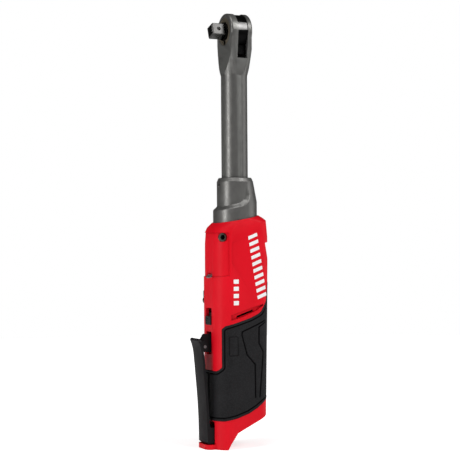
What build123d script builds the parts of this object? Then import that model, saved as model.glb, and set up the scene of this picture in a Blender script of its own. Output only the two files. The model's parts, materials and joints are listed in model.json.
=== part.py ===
"""Cordless long-neck ratchet, shown without its battery.

Frame: +Z runs up the neck towards the head, -Y is the front (paddle and square drive side)
and +X is the side with the housing screws.  The origin lies on the neck axis, in the plane of
the handle's lowest edge.  All lengths are millimetres.
"""
from build123d import *
import math
import os

os.makedirs("parts", exist_ok=True)

# ---------------------------------------------------------------- driving dimensions
SQUARE_DRIVE = 9.525          # 3/8 inch square
DRIVE_END_Y = -20.0
DRIVE_ROLL = 18.0             # degrees that the square is turned at rest

HEAD_Z = 318.1                # anvil axis height
HEAD_RADIUS = 13.9
HEAD_FRONT_Y = -8.0
HEAD_BACK_Y = 9.8
NECK_RADIUS = 10.1
NECK_TOP_Z = 284.0
NECK_BORE = 8.0
NECK_BORE_TOP_Z = 293.0
NECK_END_Z = 177.0            # lower end of the neck, inside the gear case
FLARE_RADIUS = 15.2           # cone that the neck widens into below the head
FLARE_RISE = 20.0
FLARE_HALF = 13.75            # half its width, seen from the front
FLARE_TOP_Z = HEAD_Z - 2.0
FACE_RISE = 16.0              # height over which the neck thins down to the head's faces
PIN_SPACE = 4.9               # radius and top of the space that the crank's pin sweeps
PIN_SPACE_TOP_Z = 306.0
FRONT_BORE = 9.85
BACK_BORE = 6.3
THROUGH = 40.0                # longer than anything that is cut through

COLLAR_TOP_Z = 206.0
COLLAR_SMALL = 13.85
COLLAR_LARGE = 16.85
CASE_BOTTOM_Z = 149.0

BODY_HALF_WIDTH = 19.0
BODY_FRONT_Y = -22.7
BODY_BACK_Y = 21.2
BODY_BACK_LOW_Y = 18.6        # the back leans in towards the battery end
BODY_STRAIGHT_Z = 140.0
FRONT_CORNER = 13.0
BACK_CORNER = 8.0
# sections of the shoulder: how far the front lies in and its height, the same for the back,
# how far the sides lie in, and the radii of the front and back corners
SHOULDER = [
    (0.1, 155.5, 0.0, 160.5, 0.0, 13.0, 8.0),
    (0.5, 163.2, 0.8, 173.2, 0.3, 13.4, 8.6),
    (1.9, 167.6, 2.0, 175.2, 0.8, 14.8, 11.5),
    (4.9, 171.2, 3.4, 177.3, 1.3, 17.4, 17.1),
]
WALL = 2.4
SKIN = 1.2                    # depth of the rubber skin set into the housing
SKIN_PROUD = 0.25
PANEL_DEPTH = 0.9             # how far the front panel above the lamp is set back
VENT_DEPTH = 1.8              # depth of the recess round the side vents

SLOT_FRONT_Y = -2.4           # the two faces of the slot through the head
SLOT_BACK_Y = 5.9
SLOT_BOTTOM_Z = 297.2
RING_SEAT_Y = -6.9            # back wall of the counterbore that the retaining ring sits in
RING_THICKNESS = 1.0
RING_RADIUS = 10.4
RING_INNER = 7.2
THROW = 1.5                   # eccentric throw of the crank
CRANK_RADIUS = 4.5
CRANK_TOP_Z = 296.0
CRANK_PIN = 1.6
BUSHING_RADIUS = 2.6
BUSHING_Z = 302.0
YOKE_TEETH = 36

GEAR_MODULE = 0.6
SUN_TEETH = 12
PLANET_TEETH = 15
RING_TEETH = 42
PLANET_COUNT = 3
BACKLASH = 0.12
PRESSURE_ANGLE = math.radians(20)
PLANET_CENTRE = GEAR_MODULE * (SUN_TEETH + PLANET_TEETH) / 2
GEAR_Z = 154.0
GEAR_FACE = 6.5
CARRIER_Z = 161.5

MOTOR_Z = 108.0
STATOR_LENGTH = 31.0
STATOR_RADIUS = 15.4
STATOR_BORE = 8.6
ROTOR_RADIUS = 8.2
SHAFT_RADIUS = 2.0
SHAFT_LOW_Z = 93.4
SLOT_COUNT = 6

HINGE_Y = -19.5               # paddle hinge pin
HINGE_Z = 11.0
HINGE_PIN = 1.5
PADDLE_HALF = 8.25
ARM_PIN_Y = -27.8
ARM_PIN_Z = 77.6
ARM_PIN = 1.2

SCREW_HEAD = 3.1
SCREW_GAP = 0.3               # round the head, in its counterbore
SCREW_SOCKET = 2.05
SCREW_SHANK = 1.5
CASE_SCREW = (-17.4, 160.5)   # Y and Z of the screws that also lock the gear case
BACK_SCREW = (17.0, 160.5)
TERMINAL_PITCH = 8.0
TERMINAL_Y = 1.0

FIT = 0.05                    # running clearance of a shaft in its hole


# ---------------------------------------------------------------- shared shapes
def export(part, name):
    """Label one finished piece and write its file."""
    part.label = name
    export_step(part, f"parts/{name}.step")


def head_plane(y):
    """Plane across the head at the given Y, drawn in X and Z about the anvil axis."""
    return Plane(origin=(0, y, HEAD_Z), x_dir=(1, 0, 0), z_dir=(0, -1, 0))


def side_plane(x=0.0):
    """Plane drawn in Y and Z, facing +X."""
    return Plane(origin=(x, 0, 0), x_dir=(0, 1, 0), z_dir=(1, 0, 0))


def front_plane(y):
    """Plane drawn in X and Z, facing the front."""
    return Plane(origin=(0, y, 0), x_dir=(1, 0, 0), z_dir=(0, -1, 0))


def slanted_section(front_y, front_z, back_y, back_z, half_width, front_corner, back_corner):
    """Rounded section of the handle in a plane that may slope from front to back."""
    run = back_y - front_y
    rise = back_z - front_z
    length = math.hypot(run, rise)
    plane = Plane(
        origin=(0, front_y, front_z), x_dir=(1, 0, 0), z_dir=(0, -rise / length, run / length)
    )
    corners = [(-half_width, 0), (half_width, 0), (half_width, length), (-half_width, length)]
    radii = [front_corner, front_corner, back_corner, back_corner]
    with BuildSketch(plane) as section:
        with BuildLine():
            FilletPolyline(*corners, radius=radii, close=True)
        make_face()
    return section.sketch


def body_shape(inset, low=0.0):
    """The handle's outer form, shrunk by an inset, from its lowest plane to the slanted rim."""
    half = BODY_HALF_WIDTH - inset
    front = BODY_FRONT_Y + inset
    front_corner = FRONT_CORNER - inset
    back_corner = BACK_CORNER - inset
    back = BODY_BACK_Y - inset
    sections = [
        slanted_section(front, low, BODY_BACK_LOW_Y - inset, low, half, front_corner, back_corner),
        slanted_section(front, BODY_STRAIGHT_Z, back, BODY_STRAIGHT_Z, half, front_corner, back_corner),
    ]
    for front_in, front_z, back_in, back_z, side_in, front_turn, back_turn in SHOULDER:
        sections.append(
            slanted_section(
                front + front_in, front_z, back - back_in, back_z, half - side_in,
                front_turn - inset, back_turn - inset,
            )
        )
    with BuildPart() as shape:
        for lower, upper in zip(sections, sections[1:]):
            loft([lower, upper], ruled=True)
    return shape.part


def side_prism(outline, half_width=30.0):
    """A prism across the whole tool whose outline is given in Y and Z."""
    with BuildPart() as prism:
        with BuildSketch(side_plane()):
            with BuildLine():
                Polyline(*outline, close=True)
            make_face()
        extrude(amount=half_width, both=True)
    return prism.part


# ---------------------------------------------------------------- head and neck forging
with BuildPart() as head_disc:
    with BuildSketch(head_plane(HEAD_BACK_Y)):
        Circle(HEAD_RADIUS)
    extrude(amount=HEAD_BACK_Y - HEAD_FRONT_Y)
    fillet(head_disc.edges().filter_by(GeomType.CIRCLE), 1.7)

with BuildPart() as head_neck:
    # flared cone, from the round neck out to the head's rounded corners
    with BuildSketch(side_plane()):
        with BuildLine():
            Polyline(
                (0, NECK_TOP_Z),
                (NECK_RADIUS, NECK_TOP_Z),
                (FLARE_RADIUS, NECK_TOP_Z + FLARE_RISE),
                (FLARE_RADIUS, FLARE_TOP_Z),
                (0, FLARE_TOP_Z),
                close=True,
            )
        make_face()
    revolve(axis=Axis.Z)
    # front view: straight flanks run tangent into the round head
    with BuildSketch(front_plane(0)):
        with BuildLine():
            Polyline(
                (-NECK_RADIUS, NECK_TOP_Z),
                (NECK_RADIUS, NECK_TOP_Z),
                (FLARE_HALF, FLARE_TOP_Z),
                (-FLARE_HALF, FLARE_TOP_Z),
                close=True,
            )
        make_face()
    extrude(amount=THROUGH, both=True, mode=Mode.INTERSECT)
    # side view: the faces taper in to the head's thickness
    with BuildSketch(side_plane()):
        with BuildLine():
            Polyline(
                (-NECK_RADIUS, NECK_TOP_Z),
                (HEAD_FRONT_Y, NECK_TOP_Z + FACE_RISE),
                (HEAD_FRONT_Y, HEAD_Z),
                (HEAD_BACK_Y, HEAD_Z),
                (HEAD_BACK_Y, NECK_TOP_Z + FACE_RISE),
                (NECK_RADIUS, NECK_TOP_Z),
                close=True,
            )
        make_face()
    extrude(amount=THROUGH, both=True, mode=Mode.INTERSECT)
    add(head_disc.part)
    # neck tube
    with BuildSketch(Plane.XY.offset(NECK_END_Z)):
        Circle(NECK_RADIUS)
    extrude(amount=NECK_TOP_Z - NECK_END_Z)
    # slot for the yoke, open at the top and both sides
    with Locations((0, (SLOT_FRONT_Y + SLOT_BACK_Y) / 2, SLOT_BOTTOM_Z)):
        Box(
            THROUGH, SLOT_BACK_Y - SLOT_FRONT_Y, THROUGH,
            align=(Align.CENTER, Align.CENTER, Align.MIN), mode=Mode.SUBTRACT,
        )
    # bore of the neck, bearing seat and the space that the crank's pin sweeps
    with BuildSketch(Plane.XY.offset(NECK_END_Z)):
        Circle(NECK_BORE)
    extrude(amount=NECK_BORE_TOP_Z - NECK_END_Z, mode=Mode.SUBTRACT)
    with BuildSketch(Plane.XY.offset(NECK_TOP_Z)):
        Circle(PIN_SPACE)
    extrude(amount=PIN_SPACE_TOP_Z - NECK_TOP_Z, mode=Mode.SUBTRACT)
    # bore of the front ear, with the counterbore of the retaining ring
    with BuildSketch(head_plane(SLOT_FRONT_Y)):
        Circle(FRONT_BORE)
    extrude(amount=THROUGH, mode=Mode.SUBTRACT)
    with BuildSketch(head_plane(RING_SEAT_Y)):
        Circle(RING_RADIUS + FIT)
    extrude(amount=THROUGH, mode=Mode.SUBTRACT)
    # bore of the back ear
    with BuildSketch(head_plane(SLOT_BACK_Y - 1.0)):
        Circle(BACK_BORE)
    extrude(amount=-THROUGH, mode=Mode.SUBTRACT)
export(head_neck.part, "head_neck")

# ---------------------------------------------------------------- yoke, anvil and ratchet
YOKE_OUTER = 13.2
YOKE_ROOT = 10.5
YOKE_TIP = 9.7
YOKE_FACE_GAP = 0.12
FORK_OUT = 7.2                # the two prongs that take the bushing between them
FORK_RISE = 1.7
FORK_WIDTH = 2.8
FORK_LENGTH = 6.8


def toothed_points(count, root, tip, offset_deg=0.0):
    """Corners of a ring of plain V teeth between two radii."""
    points = []
    for tooth in range(count):
        for radius, shift in ((root, 0.0), (tip, 0.5)):
            angle = math.radians(offset_deg + (tooth + shift) * 360 / count)
            points.append((radius * math.cos(angle), radius * math.sin(angle)))
    return points


with BuildPart() as yoke:
    with BuildSketch(head_plane(SLOT_BACK_Y - YOKE_FACE_GAP)):
        Circle(YOKE_OUTER)
        for side in (-1, 1):
            with Locations((side * FORK_OUT, BUSHING_Z - HEAD_Z + FORK_RISE)):
                Rectangle(FORK_WIDTH, FORK_LENGTH)
        with BuildLine():
            Polyline(*toothed_points(YOKE_TEETH, YOKE_ROOT, YOKE_TIP), close=True)
        make_face(mode=Mode.SUBTRACT)
    extrude(amount=SLOT_BACK_Y - SLOT_FRONT_Y - 2 * YOKE_FACE_GAP)
export(yoke.part, "yoke")

ANVIL_DRUM = 9.4
ANVIL_FLANGE = 9.78
HUB_RADIUS = 6.9
DRUM_FRONT_Y = -2.8
FLANGE_FRONT_Y = -5.4
HUB_FRONT_Y = -9.6
POCKET_FRONT_Y = -1.0
POCKET_BACK_Y = 4.3
DRUM_BACK_Y = 5.75
JOURNAL_BACK_Y = 8.8
JOURNAL_RADIUS = 6.2
KNOB_SHAFT = 3.0
KNOB_BORE_FRONT_Y = -2.2
PAWL_PIN = 1.2
PAWL_PIN_FRONT_Y = -3.0
PAWL_PIN_UP = 6.3             # pawl pin above the anvil axis
DETENT_Y = -14.6
DETENT_BORE = 1.55
DETENT_BORE_DEPTH = 8.0

with BuildPart() as anvil:
    with BuildSketch(head_plane(DRUM_BACK_Y)):
        Circle(ANVIL_DRUM)
    extrude(amount=DRUM_BACK_Y - DRUM_FRONT_Y)
    with BuildSketch(head_plane(DRUM_FRONT_Y + 0.2)):
        Circle(ANVIL_FLANGE)
    extrude(amount=DRUM_FRONT_Y + 0.2 - FLANGE_FRONT_Y)
    with BuildSketch(head_plane(FLANGE_FRONT_Y)):
        Circle(HUB_RADIUS)
    extrude(amount=FLANGE_FRONT_Y - HUB_FRONT_Y)
    with BuildSketch(head_plane(HUB_FRONT_Y)):
        Rectangle(SQUARE_DRIVE, SQUARE_DRIVE, rotation=DRIVE_ROLL)
    extrude(amount=HUB_FRONT_Y - DRIVE_END_Y)
    chamfer(anvil.faces().sort_by(Axis.Y)[0].edges(), 0.9)
    chamfer(
        anvil.edges().filter_by(Axis.Y).filter_by(lambda edge: edge.center().Y < -12), 0.6
    )
    # back journal in the rear ear
    with BuildSketch(head_plane(JOURNAL_BACK_Y)):
        Circle(JOURNAL_RADIUS)
    extrude(amount=JOURNAL_BACK_Y - DRUM_BACK_Y)
    # pocket for the pawl, open towards the yoke teeth
    with BuildSketch(head_plane(POCKET_BACK_Y)):
        with Locations((0, 7.2)):
            Rectangle(22, 7.4)
        with Locations((0, 3.0)):
            Rectangle(9, 4)
    extrude(amount=POCKET_BACK_Y - POCKET_FRONT_Y, mode=Mode.SUBTRACT)
    # bore for the reversing shaft and hole for the pawl pin
    with BuildSketch(head_plane(KNOB_BORE_FRONT_Y)):
        Circle(KNOB_SHAFT + FIT)
    extrude(amount=-THROUGH, mode=Mode.SUBTRACT)
    with BuildSketch(head_plane(PAWL_PIN_FRONT_Y)):
        with Locations((0, PAWL_PIN_UP)):
            Circle(PAWL_PIN)
    extrude(amount=-THROUGH, mode=Mode.SUBTRACT)
    # blind hole for the detent ball in the square
    detent_plane = Plane(
        origin=(0, DETENT_Y, HEAD_Z),
        x_dir=(0, 1, 0),
        z_dir=(math.cos(math.radians(DRIVE_ROLL)), 0, math.sin(math.radians(DRIVE_ROLL))),
    )
    with BuildSketch(detent_plane):
        Circle(DETENT_BORE)
    extrude(amount=DETENT_BORE_DEPTH, mode=Mode.SUBTRACT)
export(anvil.part, "anvil")

with BuildPart() as detent_spring:
    with BuildSketch(detent_plane.offset(0.1)):
        Circle(1.3)
        Circle(0.9, mode=Mode.SUBTRACT)
    extrude(amount=1.6)
export(detent_spring.part, "detent_spring")

with BuildPart() as detent_ball:
    with Locations(detent_plane.offset(3.85)):
        Sphere(1.5)
export(detent_ball.part, "detent_ball")

with BuildPart() as anvil_washer:
    with BuildSketch(head_plane(FLANGE_FRONT_Y - 0.05)):
        Circle(9.7)
        Circle(HUB_RADIUS + 0.15, mode=Mode.SUBTRACT)
    extrude(amount=0.8)
export(anvil_washer.part, "anvil_washer")

with BuildPart() as retaining_ring:
    with BuildSketch(head_plane(RING_SEAT_Y)):
        Circle(RING_RADIUS)
        Circle(RING_INNER, mode=Mode.SUBTRACT)
        with Locations((0, -9)):
            Rectangle(3.4, 4.5, mode=Mode.SUBTRACT)
        for side in (-1, 1):
            with Locations((side * 2.9, -7.9)):
                Circle(0.6, mode=Mode.SUBTRACT)
    extrude(amount=RING_THICKNESS)
export(retaining_ring.part, "retaining_ring")

with BuildPart() as pawl_pin:
    with BuildSketch(head_plane(PAWL_PIN_FRONT_Y + 0.1)):
        with Locations((0, PAWL_PIN_UP)):
            Circle(PAWL_PIN)
    extrude(amount=-8.6)
export(pawl_pin.part, "pawl_pin")

PAWL_RADIUS = 8.75
PAWL_TILT = 6.0               # the pawl stands rocked to one side
PAWL_TEETH = 4                # at each end of the pawl

# drawn about the pawl pin, in a plane turned by the pawl's tilt
pawl_plane = Plane(
    origin=(0, POCKET_BACK_Y - 0.2, HEAD_Z + PAWL_PIN_UP),
    x_dir=(math.cos(math.radians(PAWL_TILT)), 0, math.sin(math.radians(PAWL_TILT))),
    z_dir=(0, -1, 0),
)
with BuildPart() as pawl:
    with BuildSketch(pawl_plane):
        with BuildLine():
            pawl_arc = CenterArc((0, -PAWL_PIN_UP), PAWL_RADIUS, 36, 108)
            Line(pawl_arc @ 0, pawl_arc @ 1)
        make_face()
        Circle(PAWL_PIN + FIT, mode=Mode.SUBTRACT)
        for tooth in range(PAWL_TEETH):
            for angle in (38 + tooth * 10, 142 - tooth * 10):
                notch = Vector(0, -PAWL_PIN_UP) + Vector(PAWL_RADIUS, 0).rotate(Axis.Z, angle)
                with Locations((notch.X, notch.Y)):
                    RegularPolygon(0.55, 3, rotation=angle + 180, mode=Mode.SUBTRACT)
    extrude(amount=POCKET_BACK_Y - POCKET_FRONT_Y - 0.4)
export(pawl.part, "pawl")

# ---------------------------------------------------------------- reversing knob
KNOB_TURN = 25.0              # the knob rests turned this far to one side
KNOB_RADIUS = 8.2
KNOB_BACK_Y = HEAD_BACK_Y + 2.3
KNOB_THICKNESS = 2.1
KNOB_BAR_PROUD = 0.6
knob_direction = Vector(0, 0, 1).rotate(Axis.Y, KNOB_TURN)
plunger_plane = Plane(
    origin=(0, 1.6, HEAD_Z), x_dir=(0, 1, 0), z_dir=(knob_direction.X, 0, knob_direction.Z)
)
with BuildPart() as reverse_knob:
    with BuildSketch(head_plane(KNOB_BACK_Y)):
        Circle(KNOB_RADIUS)
    extrude(amount=KNOB_THICKNESS)
    chamfer(reverse_knob.faces().sort_by(Axis.Y)[-1].edges(), 0.5)
    # finger bar across the knob
    with BuildSketch(head_plane(KNOB_BACK_Y + KNOB_BAR_PROUD)):
        SlotOverall(14.0, 4.0, rotation=90 - KNOB_TURN)
    extrude(amount=KNOB_BAR_PROUD + 0.4)
    with BuildSketch(head_plane(HEAD_BACK_Y + 0.4)):
        Circle(KNOB_SHAFT)
    extrude(amount=HEAD_BACK_Y + 0.4 + 2.0)
    with BuildSketch(plunger_plane.offset(-1.4)):
        Circle(1.25)
    extrude(amount=6, mode=Mode.SUBTRACT)
export(reverse_knob.part, "reverse_knob")

with BuildPart() as reverse_spring:
    with BuildSketch(plunger_plane.offset(-1.35)):
        Circle(1.1)
        Circle(0.75, mode=Mode.SUBTRACT)
    extrude(amount=2.0)
export(reverse_spring.part, "reverse_spring")

with BuildPart() as reverse_plunger:
    with BuildSketch(plunger_plane.offset(0.7)):
        Circle(1.15)
    extrude(amount=2.5)
    with Locations(plunger_plane.offset(3.2)):
        Sphere(1.15)
export(reverse_plunger.part, "reverse_plunger")

# ---------------------------------------------------------------- crank in the neck
with BuildPart() as crankshaft:
    with BuildSketch(Plane.XY.offset(CARRIER_Z + 0.2)):
        Circle(CRANK_RADIUS)
    extrude(amount=CRANK_TOP_Z - CARRIER_Z - 0.2)
    with BuildSketch(Plane.XY.offset(CRANK_TOP_Z)):
        with Locations((0, -THROW)):
            Circle(CRANK_PIN)
    extrude(amount=8.5)
    chamfer(crankshaft.edges().sort_by(Axis.Z)[-1], 0.3)
    # flats for the carrier
    with Locations((0, 4.5, CARRIER_Z + 2), (0, -4.5, CARRIER_Z + 2)):
        Box(10, 1.4, 4.2, mode=Mode.SUBTRACT)
export(crankshaft.part, "crankshaft")

with BuildPart() as drive_bushing:
    with BuildSketch(Plane.XY.offset(BUSHING_Z - BUSHING_RADIUS)):
        with Locations((0, -THROW)):
            Circle(BUSHING_RADIUS)
            Circle(CRANK_PIN + FIT, mode=Mode.SUBTRACT)
    extrude(amount=2 * BUSHING_RADIUS)
    fillet(
        drive_bushing.edges().filter_by(GeomType.CIRCLE).filter_by(lambda edge: edge.radius > 2.5), 0.4
    )
export(drive_bushing.part, "drive_bushing")

with BuildPart() as crank_needle_bearing:
    with BuildSketch(Plane.XY.offset(NECK_TOP_Z)):
        Circle(NECK_BORE - 0.02)
        Circle(CRANK_RADIUS + FIT, mode=Mode.SUBTRACT)
    extrude(amount=8.5)
export(crank_needle_bearing.part, "crank_needle_bearing")


def ball_bearing(name, low_z, width, outer, bore, ball_count=8):
    """A ball bearing on the neck axis: two races with a groove each, and loose balls."""
    middle = (outer + bore) / 2
    ball = (outer - bore) / 4
    with BuildPart() as bearing:
        with BuildSketch(Plane.XY.offset(low_z)):
            Circle(outer)
            Circle(outer - ball * 0.75, mode=Mode.SUBTRACT)
        extrude(amount=width)
        with BuildSketch(Plane.XY.offset(low_z)):
            Circle(bore + ball * 0.75)
            Circle(bore, mode=Mode.SUBTRACT)
        extrude(amount=width)
        with Locations((0, 0, low_z + width / 2)):
            Torus(middle, ball + 0.05, mode=Mode.SUBTRACT)
            with PolarLocations(middle, ball_count):
                Sphere(ball)
    export(bearing.part, name)


LOWER_BEARING_Z = 166.0
ball_bearing("crank_ball_bearing", LOWER_BEARING_Z, 6.5, 9.45, CRANK_RADIUS + FIT)


# ---------------------------------------------------------------- planetary gears
def involute(radius, base):
    """Involute function of a point at the given radius."""
    if radius <= base:
        return 0.0
    angle = math.acos(base / radius)
    return math.tan(angle) - angle


def gear_points(teeth, inner, outer, thinning, first_deg=0.0):
    """Outline of an involute gear whose first tooth is centred at first_deg."""
    pitch = GEAR_MODULE * teeth / 2
    base = pitch * math.cos(PRESSURE_ANGLE)
    half_at_pitch = math.pi / (2 * teeth) - thinning / (2 * pitch)
    flank = [inner, max(inner + 0.05, base + 0.02), pitch, outer]
    half_angles = [half_at_pitch + involute(pitch, base) - involute(radius, base) for radius in flank]
    points = []
    for tooth in range(teeth):
        centre = math.radians(first_deg) + tooth * 2 * math.pi / teeth
        for radius, half in zip(flank, half_angles):
            points.append((radius * math.cos(centre - half), radius * math.sin(centre - half)))
        for radius, half in zip(reversed(flank), reversed(half_angles)):
            points.append((radius * math.cos(centre + half), radius * math.sin(centre + half)))
    return points


CARRIER_RADIUS = 11.6
CARRIER_THICKNESS = 3.6
RING_OUTER = 14.7
ADDENDUM = 0.82 * GEAR_MODULE
DEDENDUM = 1.2 * GEAR_MODULE
SUN_PITCH = GEAR_MODULE * SUN_TEETH / 2
PLANET_PITCH = GEAR_MODULE * PLANET_TEETH / 2
RING_PITCH = GEAR_MODULE * RING_TEETH / 2
PLANET_PIN = 1.25

with BuildPart() as sun_pinion:
    with BuildSketch(Plane.XY.offset(GEAR_Z - 3.5)):
        with BuildLine():
            Polyline(
                *gear_points(SUN_TEETH, SUN_PITCH - DEDENDUM, SUN_PITCH + ADDENDUM, BACKLASH), close=True
            )
        make_face()
        Circle(SHAFT_RADIUS, mode=Mode.SUBTRACT)
    extrude(amount=GEAR_FACE + 3.2)
export(sun_pinion.part, "sun_pinion")

for number in range(PLANET_COUNT):
    direction = number * 360 / PLANET_COUNT
    centre = Vector(PLANET_CENTRE, 0).rotate(Axis.Z, direction)
    planet_plane = Plane(origin=(centre.X, centre.Y, GEAR_Z), x_dir=(1, 0, 0), z_dir=(0, 0, 1))
    with BuildPart() as planet:
        with BuildSketch(planet_plane):
            with BuildLine():
                Polyline(
                    *gear_points(
                        PLANET_TEETH, PLANET_PITCH - DEDENDUM, PLANET_PITCH + ADDENDUM, BACKLASH, direction
                    ),
                    close=True,
                )
            make_face()
            Circle(PLANET_PIN + FIT, mode=Mode.SUBTRACT)
        extrude(amount=GEAR_FACE)
    export(planet.part, f"planet_gear_{number + 1}")

with BuildPart() as ring_gear:
    with BuildSketch(Plane.XY.offset(GEAR_Z - 1)):
        Circle(RING_OUTER)
        with BuildLine():
            Polyline(
                *gear_points(
                    RING_TEETH,
                    RING_PITCH - ADDENDUM,
                    RING_PITCH + DEDENDUM,
                    -BACKLASH,
                    180 / RING_TEETH * 2,
                ),
                close=True,
            )
        make_face(mode=Mode.SUBTRACT)
    extrude(amount=GEAR_FACE + 1)
export(ring_gear.part, "ring_gear")

with BuildPart() as planet_carrier:
    with BuildSketch(Plane.XY.offset(CARRIER_Z)):
        Circle(CARRIER_RADIUS)
        with PolarLocations(PLANET_CENTRE, PLANET_COUNT):
            Circle(PLANET_PIN, mode=Mode.SUBTRACT)
    extrude(amount=CARRIER_THICKNESS)
    with BuildSketch(Plane.XY.offset(CARRIER_Z + 0.2)):
        Circle(CRANK_RADIUS)
        with Locations((0, 4.5), (0, -4.5)):
            Rectangle(10, 1.4, mode=Mode.SUBTRACT)
    extrude(amount=CARRIER_THICKNESS, mode=Mode.SUBTRACT)
export(planet_carrier.part, "planet_carrier")

with BuildPart() as planet_pins:
    with BuildSketch(Plane.XY.offset(GEAR_Z - 0.6)):
        with PolarLocations(PLANET_CENTRE, PLANET_COUNT):
            Circle(PLANET_PIN)
    extrude(amount=CARRIER_Z + CARRIER_THICKNESS - GEAR_Z + 0.6)
export(planet_pins.part, "planet_pins")

# ---------------------------------------------------------------- gear case (collar)
CASE_INNER = 14.8
BEARING_SEAT = 9.5
SET_SCREW = 1.25
SET_SCREW_Z = 200.8

# outline in Y and Z of the part of the collar that steps in, at the small and the large radius
STEP_INNER = [(-25.0, 176.4), (-12.9, 184.4), (-2.2, 186.6), (2.2, 190.8), (3.0, 215.0), (-25.0, 215.0)]
STEP_OUTER = [(-25.0, 172.4), (-12.9, 181.0), (-0.8, 184.0), (4.4, 188.0), (5.4, 215.0), (-25.0, 215.0)]
STEP_RADII = [0.1, 3.0, 4.0, 4.0, 0.1, 0.1]
STEP_INNER_X = 13.2
STEP_OUTER_X = 17.2


def step_section(x, outline):
    """The stepped-in outline in the plane at x."""
    with BuildSketch(side_plane(x)) as section:
        with BuildLine():
            FilletPolyline(*outline, radius=STEP_RADII, close=True)
        make_face()
    return section.sketch


# the front and sides step in to a smaller cylinder over a slope, the back stays full
with BuildPart() as shoulder_cut:
    loft(
        [
            step_section(-STEP_OUTER_X, STEP_OUTER),
            step_section(-STEP_INNER_X, STEP_INNER),
            step_section(STEP_INNER_X, STEP_INNER),
            step_section(STEP_OUTER_X, STEP_OUTER),
        ],
        ruled=True,
    )
    with Locations((0, 0, 195)):
        Cylinder(COLLAR_SMALL, 60, mode=Mode.SUBTRACT)

with BuildPart() as gear_case:
    with BuildSketch(side_plane()):
        with BuildLine():
            Polyline(
                (0, CASE_BOTTOM_Z),
                (COLLAR_LARGE, CASE_BOTTOM_Z),
                (COLLAR_LARGE, 187.5),
                (COLLAR_SMALL + 0.1, 203.6),
                (12.4, COLLAR_TOP_Z),
                (0, COLLAR_TOP_Z),
                close=True,
            )
        make_face()
    revolve(axis=Axis.Z)
    add(shoulder_cut.part, mode=Mode.SUBTRACT)
    for radius, low, high in (
        (CASE_INNER, CASE_BOTTOM_Z, 165.6),
        (BEARING_SEAT, 165.0, 173.0),
        (6.0, 172.0, NECK_END_Z),
        (NECK_RADIUS + 0.02, NECK_END_Z - 0.1, COLLAR_TOP_Z + 1),
    ):
        with BuildSketch(Plane.XY.offset(low)):
            Circle(radius)
        extrude(amount=high - low, mode=Mode.SUBTRACT)
    # grooves that the two upper housing screws lock into
    with BuildSketch(side_plane()):
        with Locations(CASE_SCREW, BACK_SCREW):
            Circle(SCREW_SHANK + 0.2)
    extrude(amount=25, both=True, mode=Mode.SUBTRACT)
    # notch and threaded hole of the neck's set screw, at the front of the rim
    with Locations((0, -14.4, SET_SCREW_Z + 4.0)):
        Box(2.8, 3.4, 11.0, mode=Mode.SUBTRACT)
    with BuildSketch(front_plane(-9.0)):
        with Locations((0, SET_SCREW_Z)):
            Circle(SET_SCREW)
    extrude(amount=6, mode=Mode.SUBTRACT)
export(gear_case.part, "gear_case")

with BuildPart() as neck_set_screw:
    with BuildSketch(front_plane(-NECK_RADIUS - 0.02)):
        with Locations((0, SET_SCREW_Z)):
            Circle(SET_SCREW)
    extrude(amount=2.8)
    with BuildSketch(front_plane(-NECK_RADIUS - 1.2)):
        with Locations((0, SET_SCREW_Z)):
            RegularPolygon(0.75, 6)
    extrude(amount=3, mode=Mode.SUBTRACT)
export(neck_set_screw.part, "neck_set_screw")

# ---------------------------------------------------------------- motor
FRONT_PLATE_Z = 143.0
END_BELL_Z = 94.0
BEARING_POCKET = 5.55         # radius of the pockets that hold the motor's bearings
with BuildPart() as motor_front_plate:
    with BuildSketch(Plane.XY.offset(FRONT_PLATE_Z)):
        Circle(16.2)
        Circle(3.0, mode=Mode.SUBTRACT)
    extrude(amount=5.8)
    with BuildSketch(Plane.XY.offset(FRONT_PLATE_Z - 0.5)):
        Circle(BEARING_POCKET)
    extrude(amount=3.6, mode=Mode.SUBTRACT)
export(motor_front_plate.part, "motor_front_plate")

MOTOR_BEARING_OUTER = 5.5
MOTOR_BEARING_WIDTH = 2.6
REAR_BEARING_Z = 94.3
BALLS = 7
for name, low_z in (("motor_front_bearing", FRONT_PLATE_Z + 0.2), ("motor_rear_bearing", REAR_BEARING_Z)):
    ball_bearing(name, low_z, MOTOR_BEARING_WIDTH, MOTOR_BEARING_OUTER, SHAFT_RADIUS + FIT, BALLS)

with BuildPart() as motor_end_bell:
    with BuildSketch(Plane.XY.offset(END_BELL_Z)):
        Circle(STATOR_RADIUS)
        Circle(BEARING_POCKET, mode=Mode.SUBTRACT)
        with PolarLocations(10.4, 6):
            SlotOverall(6.4, 3.4, rotation=90, mode=Mode.SUBTRACT)
    extrude(amount=3.0)
    with BuildSketch(Plane.XY.offset(END_BELL_Z + 3.0)):
        Circle(STATOR_RADIUS)
        Circle(STATOR_RADIUS - 1.2, mode=Mode.SUBTRACT)
    extrude(amount=MOTOR_Z - END_BELL_Z - 3.2)
    for side in (-1, 1):
        with Locations((side * STATOR_RADIUS, 0, 100.5)):
            Box(6, 14, 5, mode=Mode.SUBTRACT)
export(motor_end_bell.part, "motor_end_bell")

with BuildPart() as stator:
    with BuildSketch(Plane.XY.offset(MOTOR_Z)):
        Circle(STATOR_RADIUS)
        Circle(12.9, mode=Mode.SUBTRACT)
        with PolarLocations(10.9, SLOT_COUNT):
            Rectangle(4.6, 3.2)
        with BuildSketch(mode=Mode.ADD):
            Circle(9.7)
            Circle(STATOR_BORE, mode=Mode.SUBTRACT)
            with PolarLocations(9.2, SLOT_COUNT, start_angle=30):
                Rectangle(3, 2.2, mode=Mode.SUBTRACT)
    extrude(amount=STATOR_LENGTH)
export(stator.part, "stator")

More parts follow.
